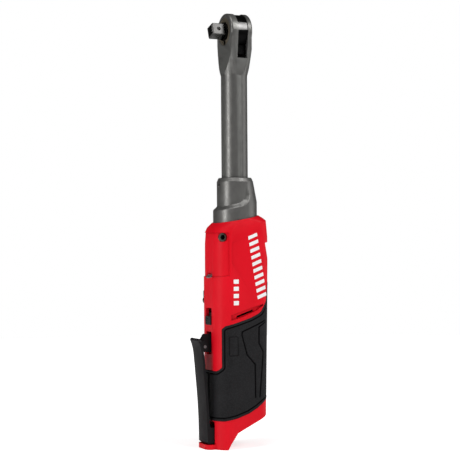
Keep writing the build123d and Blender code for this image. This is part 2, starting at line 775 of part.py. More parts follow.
WINDING_CENTRE = 11.2
WINDING_RISE = 2.4            # how far the coils stand out of the stack at each end
with BuildPart() as motor_windings:
    with BuildSketch(Plane.XY.offset(MOTOR_Z - WINDING_RISE)):
        with PolarLocations(WINDING_CENTRE, SLOT_COUNT):
            Rectangle(2.4, 6.4)
            Rectangle(2.6, 3.3, mode=Mode.SUBTRACT)
    extrude(amount=STATOR_LENGTH + 2 * WINDING_RISE)
    for low in (MOTOR_Z - WINDING_RISE, MOTOR_Z + STATOR_LENGTH + FIT):
        with BuildSketch(Plane.XY.offset(low)):
            with PolarLocations(WINDING_CENTRE, SLOT_COUNT):
                Rectangle(2.4, 6.4)
        extrude(amount=WINDING_RISE - FIT)
export(motor_windings.part, "motor_windings")

with BuildPart() as rotor:
    with BuildSketch(Plane.XY.offset(MOTOR_Z + 0.5)):
        Circle(ROTOR_RADIUS)
        Circle(SHAFT_RADIUS, mode=Mode.SUBTRACT)
    extrude(amount=STATOR_LENGTH - 1)
export(rotor.part, "rotor")

with BuildPart() as motor_shaft:
    with BuildSketch(Plane.XY.offset(SHAFT_LOW_Z)):
        Circle(SHAFT_RADIUS)
    extrude(amount=GEAR_Z + GEAR_FACE - SHAFT_LOW_Z)
export(motor_shaft.part, "motor_shaft")

FAN_BLADES = 9
FAN_DISC_Z = 103.4
with BuildPart() as motor_fan:
    with BuildSketch(Plane.XY.offset(FAN_DISC_Z)):
        Circle(13.2)
        Circle(SHAFT_RADIUS, mode=Mode.SUBTRACT)
    extrude(amount=1.2)
    with BuildSketch(Plane.XY.offset(FAN_DISC_Z - 4.0)):
        Circle(4.2)
        Circle(SHAFT_RADIUS, mode=Mode.SUBTRACT)
        with PolarLocations(8.6, FAN_BLADES):
            Rectangle(9.4, 0.9, rotation=18)
    extrude(amount=4.1)
export(motor_fan.part, "motor_fan")

# ---------------------------------------------------------------- housing shells
housing_outer = body_shape(0.0)
skin_outer = body_shape(-SKIN_PROUD, low=-0.3)
skin_inner = body_shape(SKIN, low=-0.3)
recess_floor = body_shape(SKIN + 0.05, low=-0.3)
panel_floor = body_shape(PANEL_DEPTH, low=-0.3)
vent_floor = body_shape(VENT_DEPTH, low=-0.3)

# edges of the rubber skin, seen from the side: it also wraps round the front under the paddle
SKIN_EDGE = [
    (-30.0, 21.5),
    (-17.4, 21.7),
    (-7.8, 23.7),
    (1.8, 26.8),
    (9.1, 30.8),
    (14.0, 34.4),
    (30.0, 47.0),
    (30.0, 127.0),
    (19.0, 127.0),
    (17.4, 112.0),
    (11.6, 103.0),
    (3.5, 99.3),
    (-7.1, 96.1),
    (-16.8, 93.5),
    (-18.9, 91.2),
    (-18.9, 62.4),
    (-21.5, 59.4),
    (-30.0, 59.4),
]
SKIN_EDGE_RADII = [0.1, 3.0, 6.0, 6.0, 4.0, 2.0, 0.1, 0.1, 4.0, 6.0, 8.0, 8.0, 6.0, 0.9, 0.9, 1.6, 1.6, 0.1]
with BuildPart() as skin_edge_shape:
    with BuildSketch(side_plane()):
        with BuildLine():
            FilletPolyline(*SKIN_EDGE, radius=SKIN_EDGE_RADII, close=True)
        make_face()
    extrude(amount=30.0, both=True)
skin_prism = skin_edge_shape.part

# the battery end is cut away on a slant, and the front stays long to carry the paddle
BATTERY_CUT = [(-15.6, -1.0), (-12.8, 4.8), (-7.5, 12.6), (30.0, 30.5), (30.0, -1.0)]
battery_cut = side_prism(BATTERY_CUT)

VENT_SLOT = [(-7.4, 99.4), (-7.4, 101.0), (6.3, 105.6), (6.3, 104.0)]
vent_slot = side_prism(VENT_SLOT)
VENT_RECESS = [
    (-12.4, 97.6),
    (-12.4, 101.7),
    (3.0, 106.6),
    (14.6, 109.6),
    (14.6, 108.8),
    (9.0, 104.6),
    (-1.9, 100.3),
]

# the side face falls back a little behind a crease
SIDE_PANEL = [(-11.6, 156.5), (-11.6, 140.8), (7.7, 112.6), (30.0, 112.6), (30.0, 170.5)]
PANEL_FRONT_X = 18.55
PANEL_BACK_X = 19.05

# a dip in each back corner: its outline lies in the upright plane through the neck axis that
# points out of the corner
CORNER_DIP = [(22.7, 156.0), (27.0, 157.2), (27.0, 143.0), (24.75, 143.0)]
CORNER_TURN = 65.0            # degrees from the side face to that plane

# the front is set back above the lamp
FRONT_PANEL = [(-30.0, 131.0), (-22.0, 130.2), (-13.4, 131.5), (-13.4, 164.0), (-30.0, 164.0)]

lamp_plane = Plane(origin=(0, -21.9, 131.2), x_dir=(1, 0, 0), z_dir=(0, -0.7, 0.714))
gauge_plane = Plane(origin=(-11.5, -21.1, 117.0), x_dir=(0, 0, 1), z_dir=(-0.423, -0.906, 0))

# housing screws: side that the head is on, Y, Z and how far out the head seats
HOUSING_SCREWS = [
    (1, *CASE_SCREW, 13.2),
    (-1, *BACK_SCREW, 13.2),
    (-1, -18.2, 112.0, 12.8),
    (-1, 14.2, 75.0, 16.0),
    (-1, -17.4, 30.0, 13.2),
]
SCREW_HEAD_HEIGHT = 1.9
BOSS_RADIUS = 2.7

with BuildPart() as side_panel_shape:
    with BuildSketch(Plane.XY.offset(100.0)):
        for side in (-1, 1):
            with BuildLine():
                Polyline(
                    (side * PANEL_FRONT_X, -12.0),
                    (side * 30.0, -12.0),
                    (side * 30.0, BODY_BACK_Y),
                    (side * PANEL_BACK_X, BODY_BACK_Y),
                    close=True,
                )
            make_face()
    extrude(amount=80.0)
    add(side_prism(SIDE_PANEL), mode=Mode.INTERSECT)
side_panel = side_panel_shape.part

with BuildPart() as housing:
    add(housing_outer)
    # inside of the handle, with the battery bay under it
    cavity_planes = (
        (22.0, BODY_BACK_LOW_Y - WALL),
        (MOTOR_Z + 32.0, BODY_BACK_Y - WALL),
        (CASE_BOTTOM_Z - 1.0, BODY_BACK_Y - WALL),
    )
    cavity_sections = [
        slanted_section(
            BODY_FRONT_Y + WALL, height, back, height, BODY_HALF_WIDTH - WALL,
            FRONT_CORNER - WALL, BACK_CORNER - WALL,
        )
        for height, back in cavity_planes
    ]
    for lower, upper in zip(cavity_sections, cavity_sections[1:]):
        loft([lower, upper], ruled=True, mode=Mode.SUBTRACT)
    with BuildSketch(Plane.XY.offset(-1.0)):
        with BuildLine():
            FilletPolyline(
                (-16.4, -12.6), (16.4, -12.6), (16.4, 16.0), (-16.4, 16.0), radius=5.0, close=True
            )
        make_face()
    extrude(amount=24.0, mode=Mode.SUBTRACT)
    # seat of the gear case
    with BuildSketch(Plane.XY.offset(CASE_BOTTOM_Z - 1.1)):
        Circle(COLLAR_LARGE + 0.03)
    extrude(amount=40, mode=Mode.SUBTRACT)
    add(battery_cut, mode=Mode.SUBTRACT)
    # recess for the rubber skin
    add(skin_prism - recess_floor, mode=Mode.SUBTRACT)
    # front panel set back above the lamp
    add(side_prism(FRONT_PANEL) - panel_floor, mode=Mode.SUBTRACT)
    add(side_prism(VENT_RECESS) - vent_floor, mode=Mode.SUBTRACT)
    add(vent_slot, mode=Mode.SUBTRACT)
    add(side_panel, mode=Mode.SUBTRACT)
    for turn in (CORNER_TURN, 180.0 - CORNER_TURN):
        outward = Vector(1, 0, 0).rotate(Axis.Z, turn)
        with BuildSketch(Plane(origin=(0, 0, 0), x_dir=outward, z_dir=outward.cross(Vector(0, 0, 1)))):
            with BuildLine():
                Polyline(*CORNER_DIP, close=True)
            make_face()
        extrude(amount=14.0, both=True, mode=Mode.SUBTRACT)
    # paddle pocket and the lip under it
    with Locations((0, -22.4, 12.2)):
        Box(2 * PADDLE_HALF + 1.3, 14.8, 17.0, mode=Mode.SUBTRACT)
    with BuildSketch(Plane.XY):
        with BuildLine():
            FilletPolyline(
                (-10.2, -17.0), (-10.2, -29.0), (10.2, -29.0), (10.2, -17.0),
                radius=[0.1, 5.0, 5.0, 0.1], close=True,
            )
        make_face()
    extrude(amount=3.7)
    # bosses for the screws that cross the inside
    for side, y, z, seat in HOUSING_SCREWS:
        if z < BODY_STRAIGHT_Z:
            with BuildSketch(side_plane()):
                with Locations((y, z)):
                    Circle(BOSS_RADIUS)
            extrude(amount=seat - 1.5, both=True)
    # hole of the hinge pin
    with BuildSketch(side_plane()):
        with Locations((HINGE_Y, HINGE_Z)):
            Circle(HINGE_PIN)
    extrude(amount=12.5, both=True, mode=Mode.SUBTRACT)
    # trigger opening and lock slot in the front wall
    with BuildSketch(front_plane(-16.0)):
        with Locations((0, 80.2)):
            RectangleRounded(9.4, 17.2, 1.5)
        with Locations((0, 100.3)):
            RectangleRounded(10.4, 12.8, 1.2)
    extrude(amount=12, mode=Mode.SUBTRACT)
    # lamp window with its scoop, and the charge gauge window
    with BuildSketch(lamp_plane):
        SlotOverall(10.6, 4.6)
    extrude(amount=8, mode=Mode.SUBTRACT)
    with BuildSketch(lamp_plane.offset(-4)):
        SlotOverall(9.7, 3.7)
    extrude(amount=5, mode=Mode.SUBTRACT)
    with BuildSketch(gauge_plane.offset(-3)):
        RectangleRounded(5.1, 4.1, 0.8)
    extrude(amount=6, mode=Mode.SUBTRACT)
    # screw holes, counterbored on the side of the head
    for side, y, z, seat in HOUSING_SCREWS:
        with BuildSketch(side_plane(side * seat)):
            with Locations((y, z)):
                Circle(SCREW_HEAD + SCREW_GAP)
        extrude(amount=side * 8, mode=Mode.SUBTRACT)
        with BuildSketch(side_plane(side * seat)):
            with Locations((y, z)):
                Circle(SCREW_SHANK)
        extrude(amount=-side * (seat + 10.0), mode=Mode.SUBTRACT)

for name, keep in (("housing_right", Keep.TOP), ("housing_left", Keep.BOTTOM)):
    with BuildPart() as shell:
        add(housing.part)
        split(bisect_by=Plane.YZ, keep=keep)
    export(shell.part, name)

with BuildPart() as skin:
    add(skin_outer)
    add(skin_inner, mode=Mode.SUBTRACT)
    add(skin_prism, mode=Mode.INTERSECT)
    for side, y, z, seat in HOUSING_SCREWS:
        with BuildSketch(side_plane(side * seat)):
            with Locations((y, z)):
                Circle(SCREW_HEAD + SCREW_GAP)
        extrude(amount=side * 8, mode=Mode.SUBTRACT)
for name, keep in (("overmould_right", Keep.TOP), ("overmould_left", Keep.BOTTOM)):
    with BuildPart() as shell:
        add(skin.part)
        split(bisect_by=Plane.YZ, keep=keep)
    export(shell.part, name)

with BuildPart() as housing_screws:
    for side, y, z, seat in HOUSING_SCREWS:
        with BuildSketch(side_plane(side * seat)):
            with Locations((y, z)):
                Circle(SCREW_HEAD)
                RegularPolygon(SCREW_SOCKET, 6, mode=Mode.SUBTRACT)
        extrude(amount=side * SCREW_HEAD_HEIGHT)
        with BuildSketch(side_plane(side * (seat + 0.6))):
            with Locations((y, z)):
                Circle(SCREW_HEAD)
        extrude(amount=-side * 0.6)
        with BuildSketch(side_plane(side * seat)):
            with Locations((y, z)):
                Circle(SCREW_SHANK)
        extrude(amount=-side * (seat + 9.5))
export(housing_screws.part, "housing_screws")

# ---------------------------------------------------------------- lamp and gauge
with BuildPart() as lamp_lens:
    with BuildSketch(lamp_plane.offset(-1.8)):
        SlotOverall(9.6, 3.6)
    extrude(amount=2.1)
    fillet(lamp_lens.faces().sort_by(SortBy.AREA)[-1].edges(), 0.3)
export(lamp_lens.part, "lamp_lens")

with BuildPart() as lamp_led:
    with BuildSketch(lamp_plane.offset(-3.4)):
        Rectangle(3.2, 2.6)
    extrude(amount=1.4)
export(lamp_led.part, "lamp_led")

with BuildPart() as gauge_lens:
    with BuildSketch(gauge_plane.offset(-1.6)):
        RectangleRounded(5.0, 4.0, 0.8)
    extrude(amount=2.4)
export(gauge_lens.part, "gauge_lens")

# ---------------------------------------------------------------- electronics and switch
with BuildPart() as sensor_board:
    with BuildSketch(Plane.XY.offset(141.6)):
        Circle(15.2)
        Circle(5.0, mode=Mode.SUBTRACT)
    extrude(amount=1.2)
export(sensor_board.part, "sensor_board")

BOARD_Y = 9.0
BOARD_THICKNESS = 1.6
with BuildPart() as control_board:
    with Locations((0, BOARD_Y + BOARD_THICKNESS / 2, 80.0)):
        Box(27.0, BOARD_THICKNESS, 25.0)
    for x in (-8.0, 0.0, 8.0):
        with Locations((x, BOARD_Y - 0.9, 86.0)):
            Box(5.0, 1.8, 6.0)
    with Locations((-6.0, BOARD_Y - 0.7, 74.0)):
        Box(7.0, 1.4, 7.0)
    with Locations((8.0, BOARD_Y + BOARD_THICKNESS + 1.5, 84.0)):
        Box(7.0, 3.0, 9.0)
export(control_board.part, "control_board")

with BuildPart() as terminal_block:
    with Locations((0, TERMINAL_Y, 62.0)):
        Box(27.0, 22.0, 8.0)
    chamfer(terminal_block.edges().filter_by(Axis.Z), 2.0)
    with BuildSketch(Plane.XY.offset(57.0)):
        with Locations((0, TERMINAL_Y)):
            with GridLocations(TERMINAL_PITCH, 0, 3, 1):
                Rectangle(1.0, 7.2)
    extrude(amount=10, mode=Mode.SUBTRACT)
export(terminal_block.part, "terminal_block")

with BuildPart() as terminals:
    with BuildSketch(Plane.XY.offset(49.0)):
        with Locations((0, TERMINAL_Y)):
            with GridLocations(TERMINAL_PITCH, 0, 3, 1):
                Rectangle(0.9, 7.0)
    extrude(amount=18.5)
export(terminals.part, "terminals")

SWITCH_FRONT_Y = -11.2
SWITCH_MIDDLE_Y = -4.2
PLUNGER_Z = 80.8
PLUNGER_TIP_Y = -16.6
with BuildPart() as switch_body:
    with Locations((0, SWITCH_MIDDLE_Y, 81.0)):
        Box(16.0, 2 * (SWITCH_MIDDLE_Y - SWITCH_FRONT_Y), 21.0)
    chamfer(switch_body.edges().filter_by(Axis.X), 1.0)
    with Locations((0, SWITCH_FRONT_Y + 4.6, PLUNGER_Z)):
        Box(4.3, 9.4, 3.5, mode=Mode.SUBTRACT)
export(switch_body.part, "switch_body")

with BuildPart() as switch_plunger:
    with Locations((0, PLUNGER_TIP_Y + 4.0, PLUNGER_Z)):
        Box(4.1, 8.0, 3.3)
    fillet(switch_plunger.faces().sort_by(Axis.Y)[0].edges(), 0.8)
export(switch_plunger.part, "switch_plunger")

# ---------------------------------------------------------------- lock slide
LOCK_Z = 97.2
LOCK_FRONT_Y = -23.6
RIB_PITCH = 1.7
with BuildPart() as lock_slide:
    with BuildSketch(front_plane(-19.6)):
        with Locations((0, LOCK_Z)):
            RectangleRounded(9.6, 6.4, 1.0)
    extrude(amount=4.0)
    for step in (-1, 0, 1):
        with Locations((0, LOCK_FRONT_Y, LOCK_Z + step * RIB_PITCH)):
            Box(7.6, 1.0, 0.7, mode=Mode.SUBTRACT)
    with Locations((0, -19.5, LOCK_Z)):
        Box(14.0, 1.2, 11.6)
    with Locations((0, -19.0, 90.4)):
        Box(4.0, 2.2, 2.8)
export(lock_slide.part, "lock_slide")

# ---------------------------------------------------------------- paddle
with BuildPart() as paddle:
    with BuildSketch(side_plane()):
        with BuildLine():
            outer_face = Spline(
                (-28.5, 5.4), (-28.7, 17.0), (-29.5, 35.0), (-32.2, 67.0), (-33.4, 76.5), (-35.2, 82.0)
            )
            tip = ThreePointArc(outer_face @ 1, (-34.9, 83.9), (-33.4, 83.8))
            inner_face = Spline(tip @ 1, (-31.6, 76.5), (-30.2, 66.0), (-27.5, 35.0), (-26.6, 18.4))
            Polyline(
                inner_face @ 1, (-25.6, 16.4), (-17.2, 16.4), (-16.0, 14.6), (-16.0, 6.6), (-17.6, 4.5),
                (-27.6, 4.5), outer_face @ 0,
            )
        make_face()
    extrude(amount=PADDLE_HALF, both=True)
    # rounded top corners, seen from the front
    with BuildSketch(front_plane(0)):
        with BuildLine():
            FilletPolyline(
                (-PADDLE_HALF, 4.0), (PADDLE_HALF, 4.0), (PADDLE_HALF, 85.0), (-PADDLE_HALF, 85.0),
                radius=[0.1, 0.1, 4.0, 4.0], close=True,
            )
        make_face()
    extrude(amount=50, mode=Mode.INTERSECT)
    # two lugs that hold the arm's pin
    with BuildSketch(side_plane()):
        with BuildLine():
            Polyline(
                (-31.6, 72.4), (-26.6, 74.4), (-25.8, 76.0), (-25.8, 79.6), (-28.6, 82.0), (-33.6, 82.0),
                close=True,
            )
        make_face()
    extrude(amount=4.2, both=True)
    with Locations((0, -27.3, 78.0)):
        Box(5.0, 9.0, 14.0, mode=Mode.SUBTRACT)
    # hinge hole, pocket for the spring coils and hole for the arm's pin
    with BuildSketch(side_plane()):
        with Locations((HINGE_Y, HINGE_Z)):
            Circle(HINGE_PIN + FIT)
    extrude(amount=10, both=True, mode=Mode.SUBTRACT)
    with Locations((0, -19.0, HINGE_Z)):
        Box(6.0, 8.4, 8.0, mode=Mode.SUBTRACT)
    with BuildSketch(side_plane()):
        with Locations((ARM_PIN_Y, ARM_PIN_Z)):
            Circle(ARM_PIN)
    extrude(amount=10, both=True, mode=Mode.SUBTRACT)
export(paddle.part, "paddle")

with BuildPart() as paddle_pin:
    with BuildSketch(side_plane()):
        with Locations((HINGE_Y, HINGE_Z)):
            Circle(HINGE_PIN)
    extrude(amount=12.2, both=True)
export(paddle_pin.part, "paddle_pin")

with BuildPart() as paddle_spring:
    for turn in (-1.4, 0.0, 1.4):
        with Locations(Plane(origin=(turn, HINGE_Y, HINGE_Z), x_dir=(0, 1, 0), z_dir=(1, 0, 0))):
            Torus(2.5, 0.55)
export(paddle_spring.part, "paddle_spring")

with BuildPart() as paddle_arm:
    with BuildSketch(side_plane()):
        with BuildLine():
            FilletPolyline(
                (-30.6, 81.4), (-27.0, 87.0), (-20.2, 87.0), (-17.5, 82.5), (-17.5, 79.0), (-20.2, 76.0),
                (-21.6, 72.8), (-27.0, 73.6), (-30.0, 76.0),
                radius=1.2, close=True,
            )
        make_face()
        with Locations((ARM_PIN_Y, ARM_PIN_Z)):
            Circle(ARM_PIN + FIT, mode=Mode.SUBTRACT)
    extrude(amount=2.3, both=True)
export(paddle_arm.part, "paddle_arm")

with BuildPart() as arm_pin:
    with BuildSketch(side_plane()):
        with Locations((ARM_PIN_Y, ARM_PIN_Z)):
            Circle(ARM_PIN)
    extrude(amount=4.4, both=True)
export(arm_pin.part, "arm_pin")
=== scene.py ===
"""Looks of the cordless long-neck ratchet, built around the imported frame.  Metres, +Z up the neck."""
import json
import math

import bmesh
import bpy
import numpy as np
from mathutils import Matrix, Vector


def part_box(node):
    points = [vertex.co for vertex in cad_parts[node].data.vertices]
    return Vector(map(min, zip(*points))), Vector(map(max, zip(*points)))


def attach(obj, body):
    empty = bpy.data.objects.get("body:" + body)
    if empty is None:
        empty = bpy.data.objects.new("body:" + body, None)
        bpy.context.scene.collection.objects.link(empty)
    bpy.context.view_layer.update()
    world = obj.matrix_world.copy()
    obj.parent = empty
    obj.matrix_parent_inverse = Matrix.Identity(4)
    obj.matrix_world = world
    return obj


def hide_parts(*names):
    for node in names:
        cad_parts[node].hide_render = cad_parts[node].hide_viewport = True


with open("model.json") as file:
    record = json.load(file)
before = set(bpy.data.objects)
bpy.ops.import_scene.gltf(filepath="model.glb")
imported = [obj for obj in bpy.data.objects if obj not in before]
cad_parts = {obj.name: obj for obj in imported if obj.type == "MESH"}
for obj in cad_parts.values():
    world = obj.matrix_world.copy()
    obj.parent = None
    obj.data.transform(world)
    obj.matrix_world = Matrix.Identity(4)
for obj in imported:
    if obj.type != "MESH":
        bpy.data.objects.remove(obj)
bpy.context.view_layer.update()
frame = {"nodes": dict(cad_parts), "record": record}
nodes = frame["nodes"]
bodies_of_nodes = {
    node: body for body, members in frame["record"]["behaviour"]["bodies"].items() for node in members
}
MM = 0.001


# ---------------------------------------------------------------- material helpers
class Shader:
    """A small wrapper that adds nodes to one material and links them."""

    def __init__(self, name):
        self.material = bpy.data.materials.new(name)
        self.material.use_nodes = True
        self.tree = self.material.node_tree
        self.principled = self.tree.nodes["Principled BSDF"]
        self.position = self.tree.nodes.new("ShaderNodeTexCoord").outputs["Object"]

    def add(self, kind, **values):
        """A new node, with its inputs fed or its settings set by name."""
        node = self.tree.nodes.new(kind)
        for key, value in values.items():
            if key in node.inputs:
                self.feed(node.inputs[key], value)
            else:
                setattr(node, key, value)
        return node

    def feed(self, socket, value):
        """Link a socket to another, or set it to a plain value."""
        if isinstance(value, bpy.types.NodeSocket):
            self.tree.links.new(value, socket)
        else:
            socket.default_value = value

    def set(self, **values):
        """Feed the shader's own sockets, named with underscores for spaces."""
        for key, value in values.items():
            self.feed(self.principled.inputs[key.replace("_", " ")], value)

    def scaled(self, scale):
        """Object position with a separate scale for each axis."""
        mapping = self.add("ShaderNodeMapping", Vector=self.position)
        mapping.inputs["Scale"].default_value = scale
        return mapping.outputs["Vector"]

    def noise(self, size_mm, detail=3.0, roughness=0.5, stretch=(1, 1, 1)):
        """Noise whose features are about size_mm across."""
        scale = 1.0 / (size_mm * MM)
        vector = self.scaled([scale * s for s in stretch])
        node = self.add("ShaderNodeTexNoise", Vector=vector, Scale=1.0, Detail=detail, Roughness=roughness)
        return node.outputs["Fac"]

    def ramp(self, value, stops):
        """Colour ramp, with stops of (position, colour or grey)."""
        node = self.add("ShaderNodeValToRGB", Fac=value)
        elements = node.color_ramp.elements
        while len(elements) < len(stops):
            elements.new(0.5)
        for element, (place, colour) in zip(elements, stops):
            element.position = place
            grey = isinstance(colour, (int, float))
            element.color = (colour, colour, colour, 1) if grey else (*colour, 1)
        return node.outputs["Color"]

    def times(self, value, factor):
        node = self.add("ShaderNodeMath", operation="MULTIPLY")
        self.feed(node.inputs[0], value)
        self.feed(node.inputs[1], factor)
        return node.outputs[0]

    def mix(self, factor, a, b):
        """Colour a where the factor is 0 and colour b where it is 1."""
        node = self.add("ShaderNodeMix", data_type="RGBA")
        self.feed(node.inputs[0], factor)
        for socket, value in ((node.inputs[6], a), (node.inputs[7], b)):
            self.feed(socket, (*value, 1) if isinstance(value, tuple) else value)
        return node.outputs[2]

    def bump(self, height, distance_mm, strength=1.0):
        node = self.add("ShaderNodeBump", Strength=strength, Distance=distance_mm * MM, Height=height)
        return node.outputs["Normal"]

    def worn_edges(self):
        """1 along convex edges, 0 elsewhere."""
        point = self.add("ShaderNodeNewGeometry").outputs["Pointiness"]
        return self.ramp(point, [(0.53, 0.0), (0.62, 1.0)])

    def shaded_hollows(self):
        """1 at the bottom of a piece's grooves and inside screw sockets, 0 elsewhere: where painted shade
        goes.
        """
        return self.add("ShaderNodeAttribute", attribute_name="groove").outputs["Fac"]

    def painted_hollow_shade(self, base, distance_mm=2.5, floor=0.3):
        """The base colour with painted shade: darker in hollows and narrow gaps, where less light reaches."""
        node = self.add("ShaderNodeAmbientOcclusion", samples=6, Distance=distance_mm * MM)
        shade = self.ramp(node.outputs["AO"], [(0.1, floor), (0.75, 1.0)])
        mix = self.add("ShaderNodeMix", data_type="RGBA", blend_type="MULTIPLY")
        self.feed(mix.inputs[0], 1.0)
        self.feed(mix.inputs[6], base)
        self.feed(mix.inputs[7], shade)
        return mix.outputs[2]


def scaled_colour(colour, factor):
    return tuple(c * factor for c in colour)


def plastic(name, colour, lighter, rough, grain_mm=0.35, grain_depth=0.012, specular=0.3):
    """Moulded plastic: faint colour drift, spark-eroded grain, polished edges and painted shade in hollows.
    """
    s = Shader(name)
    drift = s.noise(22.0, 2.0)
    base = s.mix(s.ramp(drift, [(0.3, 0.0), (0.7, 1.0)]), colour, lighter)
    grain = s.noise(grain_mm, 2.0, 0.6)
    smudge = s.noise(9.0, 4.0, 0.6)
    roughness = s.ramp(smudge, [(0.3, rough - 0.06), (0.7, rough + 0.06)])
    roughness = s.mix(s.worn_edges(), roughness, (rough - 0.1,) * 3)
    s.set(Base_Color=s.painted_hollow_shade(base), Roughness=roughness, Normal=s.bump(grain, grain_depth))
    s.principled.inputs["Specular IOR Level"].default_value = specular
    return s.material


PEBBLE = 1.1


def rubber(name, colour, lighter, rough):
    """Soft grip: fine pebbled texture, lighter pebble tops, painted shade in hollows, and dull grooves
    darkened with painted shade.
    """
    s = Shader(name)
    cells = s.add("ShaderNodeTexVoronoi", Vector=s.scaled([1 / (PEBBLE * MM)] * 3), Scale=1.0)
    pebble = s.ramp(cells.outputs["Distance"], [(0.1, 1.0), (0.65, 0.0)])
    fine = s.noise(0.25, 2.0, 0.6)
    height = s.mix(0.3, pebble, fine)
    drift = s.noise(18.0, 3.0)
    base = s.mix(s.ramp(drift, [(0.35, 0.0), (0.65, 1.0)]), colour, lighter)
    base = s.mix(s.times(pebble, 0.6), base, scaled_colour(lighter, 1.9))
    groove = s.shaded_hollows()
    # painted shade: the grooves' colour is darkened to stand in for the shade inside them
    base = s.mix(groove, base, scaled_colour(colour, 0.08))
    roughness = s.ramp(s.noise(7.0, 4.0), [(0.3, rough - 0.05), (0.7, rough + 0.08)])
    s.set(Base_Color=s.painted_hollow_shade(base), Roughness=roughness, Normal=s.bump(height, 0.16, 0.9))
    s.set(Specular_IOR_Level=s.ramp(groove, [(0.1, 0.2), (0.7, 0.0)]))
    return s.material


def metal(
    name, colour, lighter, rough, metallic=1.0, brush=(1, 1, 1), grain_mm=0.3, grain_depth=0.006, wear=None
):
    """Metal with fine grain or brushing, faint staining, brighter worn edges, and painted shade in hollows,
    grooves and screw sockets.
    """
    s = Shader(name)
    stain = s.noise(6.0, 5.0, 0.6)
    base = s.mix(s.ramp(stain, [(0.35, 0.0), (0.7, 1.0)]), colour, lighter)
    if wear:
        base = s.mix(s.worn_edges(), base, wear)
    # painted shade: the colour goes almost black at groove bottoms and inside screw sockets
    base = s.mix(s.shaded_hollows(), base, scaled_colour(colour, 0.04))
    grain = s.noise(grain_mm, 3.0, 0.6, brush)
    cloud = s.noise(4.0, 3.0, 0.5)
    roughness = s.ramp(cloud, [(0.3, rough - 0.05), (0.7, rough + 0.06)])
    s.set(Base_Color=s.painted_hollow_shade(base, 3.0, 0.12), Roughness=roughness, Normal=s.bump(grain, grain_depth))
    s.principled.inputs["Metallic"].default_value = metallic
    return s.material


def make_materials():
    """One material for each of the record's slots, by slot name."""
    plastics = {
        "red_plastic": [(0.635, 0.0030, 0.0115), (0.70, 0.0042, 0.0150), 0.47, 0.4, 0.012, 0.12],
        "black_plastic": [(0.007, 0.006, 0.007), (0.010, 0.009, 0.010), 0.48, 0.35, 0.012, 0.13],
        "button_grey": [(0.010, 0.013, 0.013), (0.015, 0.018, 0.018), 0.42],
        "board_green": [(0.01, 0.08, 0.03), (0.015, 0.11, 0.045), 0.35],
        "led_yellow": [(0.75, 0.55, 0.08), (0.85, 0.65, 0.12), 0.3],
        "gauge_black": [(0.010, 0.010, 0.012), (0.014, 0.014, 0.016), 0.18, 0.35, 0.012, 0.5],
        "white_print": [(0.80, 0.80, 0.80), (0.86, 0.86, 0.86), 0.45, 0.3, 0.006],
    }
    plain = (1, 1, 1)
    coated_wear = (0.22, 0.22, 0.21)
    cast_wear = (0.20, 0.20, 0.195)
    metals = {
        "coated_steel": [
            (0.157, 0.155, 0.149), (0.178, 0.175, 0.167), 0.38, 0.7, plain, 0.3, 0.006, coated_wear,
        ],
        "cast_grey": [(0.163, 0.161, 0.155), (0.184, 0.181, 0.173), 0.38, 0.7, plain, 0.45, 0.012, cast_wear],
        "screw_steel": [(0.15, 0.13, 0.11), (0.22, 0.20, 0.17), 0.36],
        "bright_steel": [(0.175, 0.171, 0.171), (0.22, 0.216, 0.212), 0.36, 1.0, (0.2, 3, 0.2)],
        "drive_chrome": [(0.068, 0.067, 0.065), (0.085, 0.083, 0.081), 0.24],
        "spring_steel": [(0.30, 0.30, 0.31), (0.38, 0.38, 0.39), 0.3],
        "washer_bronze": [(0.36, 0.31, 0.23), (0.46, 0.40, 0.31), 0.45],
        "dark_steel": [(0.006, 0.006, 0.006), (0.010, 0.010, 0.010), 0.42],
        "shaft_steel": [(0.17, 0.16, 0.165), (0.23, 0.22, 0.225), 0.34],
        "bearing_steel": [(0.50, 0.50, 0.52), (0.60, 0.60, 0.61), 0.2],
        "gear_steel": [(0.33, 0.32, 0.31), (0.42, 0.41, 0.40), 0.35],
        "lamination": [(0.18, 0.19, 0.21), (0.26, 0.27, 0.29), 0.45, 1.0, (0.1, 0.1, 4)],
        "copper_wire": [(0.45, 0.16, 0.06), (0.60, 0.24, 0.09), 0.3, 1.0, (1, 1, 0.1), 0.6, 0.1],
        "contact_brass": [(0.62, 0.44, 0.18), (0.72, 0.54, 0.26), 0.25],
    }
    made = {name: plastic(name, *look) for name, look in plastics.items()}
    made.update({name: metal(name, *look) for name, look in metals.items()})
    made["grip_rubber"] = rubber("grip_rubber", (0.0065, 0.0063, 0.0070), (0.0095, 0.0093, 0.0105), 0.62)
    lens = Shader("lamp_lens")
    ripple = lens.noise(1.2, 2.0)
    lens.set(Base_Color=(0.22, 0.12, 0.12, 1), Roughness=lens.ramp(ripple, [(0.3, 0.10), (0.7, 0.22)]))
    lens.set(Transmission_Weight=0.35, Normal=lens.bump(ripple, 0.05))
    made["lamp_lens"] = lens.material
    return made


materials = make_materials()
slot_of_node = {entry["node"]: entry["material_slot"] for entry in frame["record"]["subparts"]}
for name, node in nodes.items():
    node.data.materials.clear()
    node.data.materials.append(materials[slot_of_node[name]])


# ---------------------------------------------------------------- shape helpers
def cleaned_copy(node_name):
    """A CAD node's mesh for editing, with doubled points merged and flat faces joined."""
    bm = bmesh.new()
    bm.from_mesh(nodes[node_name].data)
    bmesh.ops.remove_doubles(bm, verts=bm.verts, dist=0.004 * MM)
    bmesh.ops.dissolve_limit(bm, angle_limit=math.radians(0.6), verts=bm.verts, edges=bm.edges)
    return bm


def cut_across(bm, place, normal, clear=False):
    """Cut all faces along a plane, and drop what lies in front of it if told to."""
    geometry = list(bm.verts) + list(bm.edges) + list(bm.faces)
    bmesh.ops.bisect_plane(bm, geom=geometry, dist=1e-7, plane_co=place, plane_no=normal, clear_outer=clear)


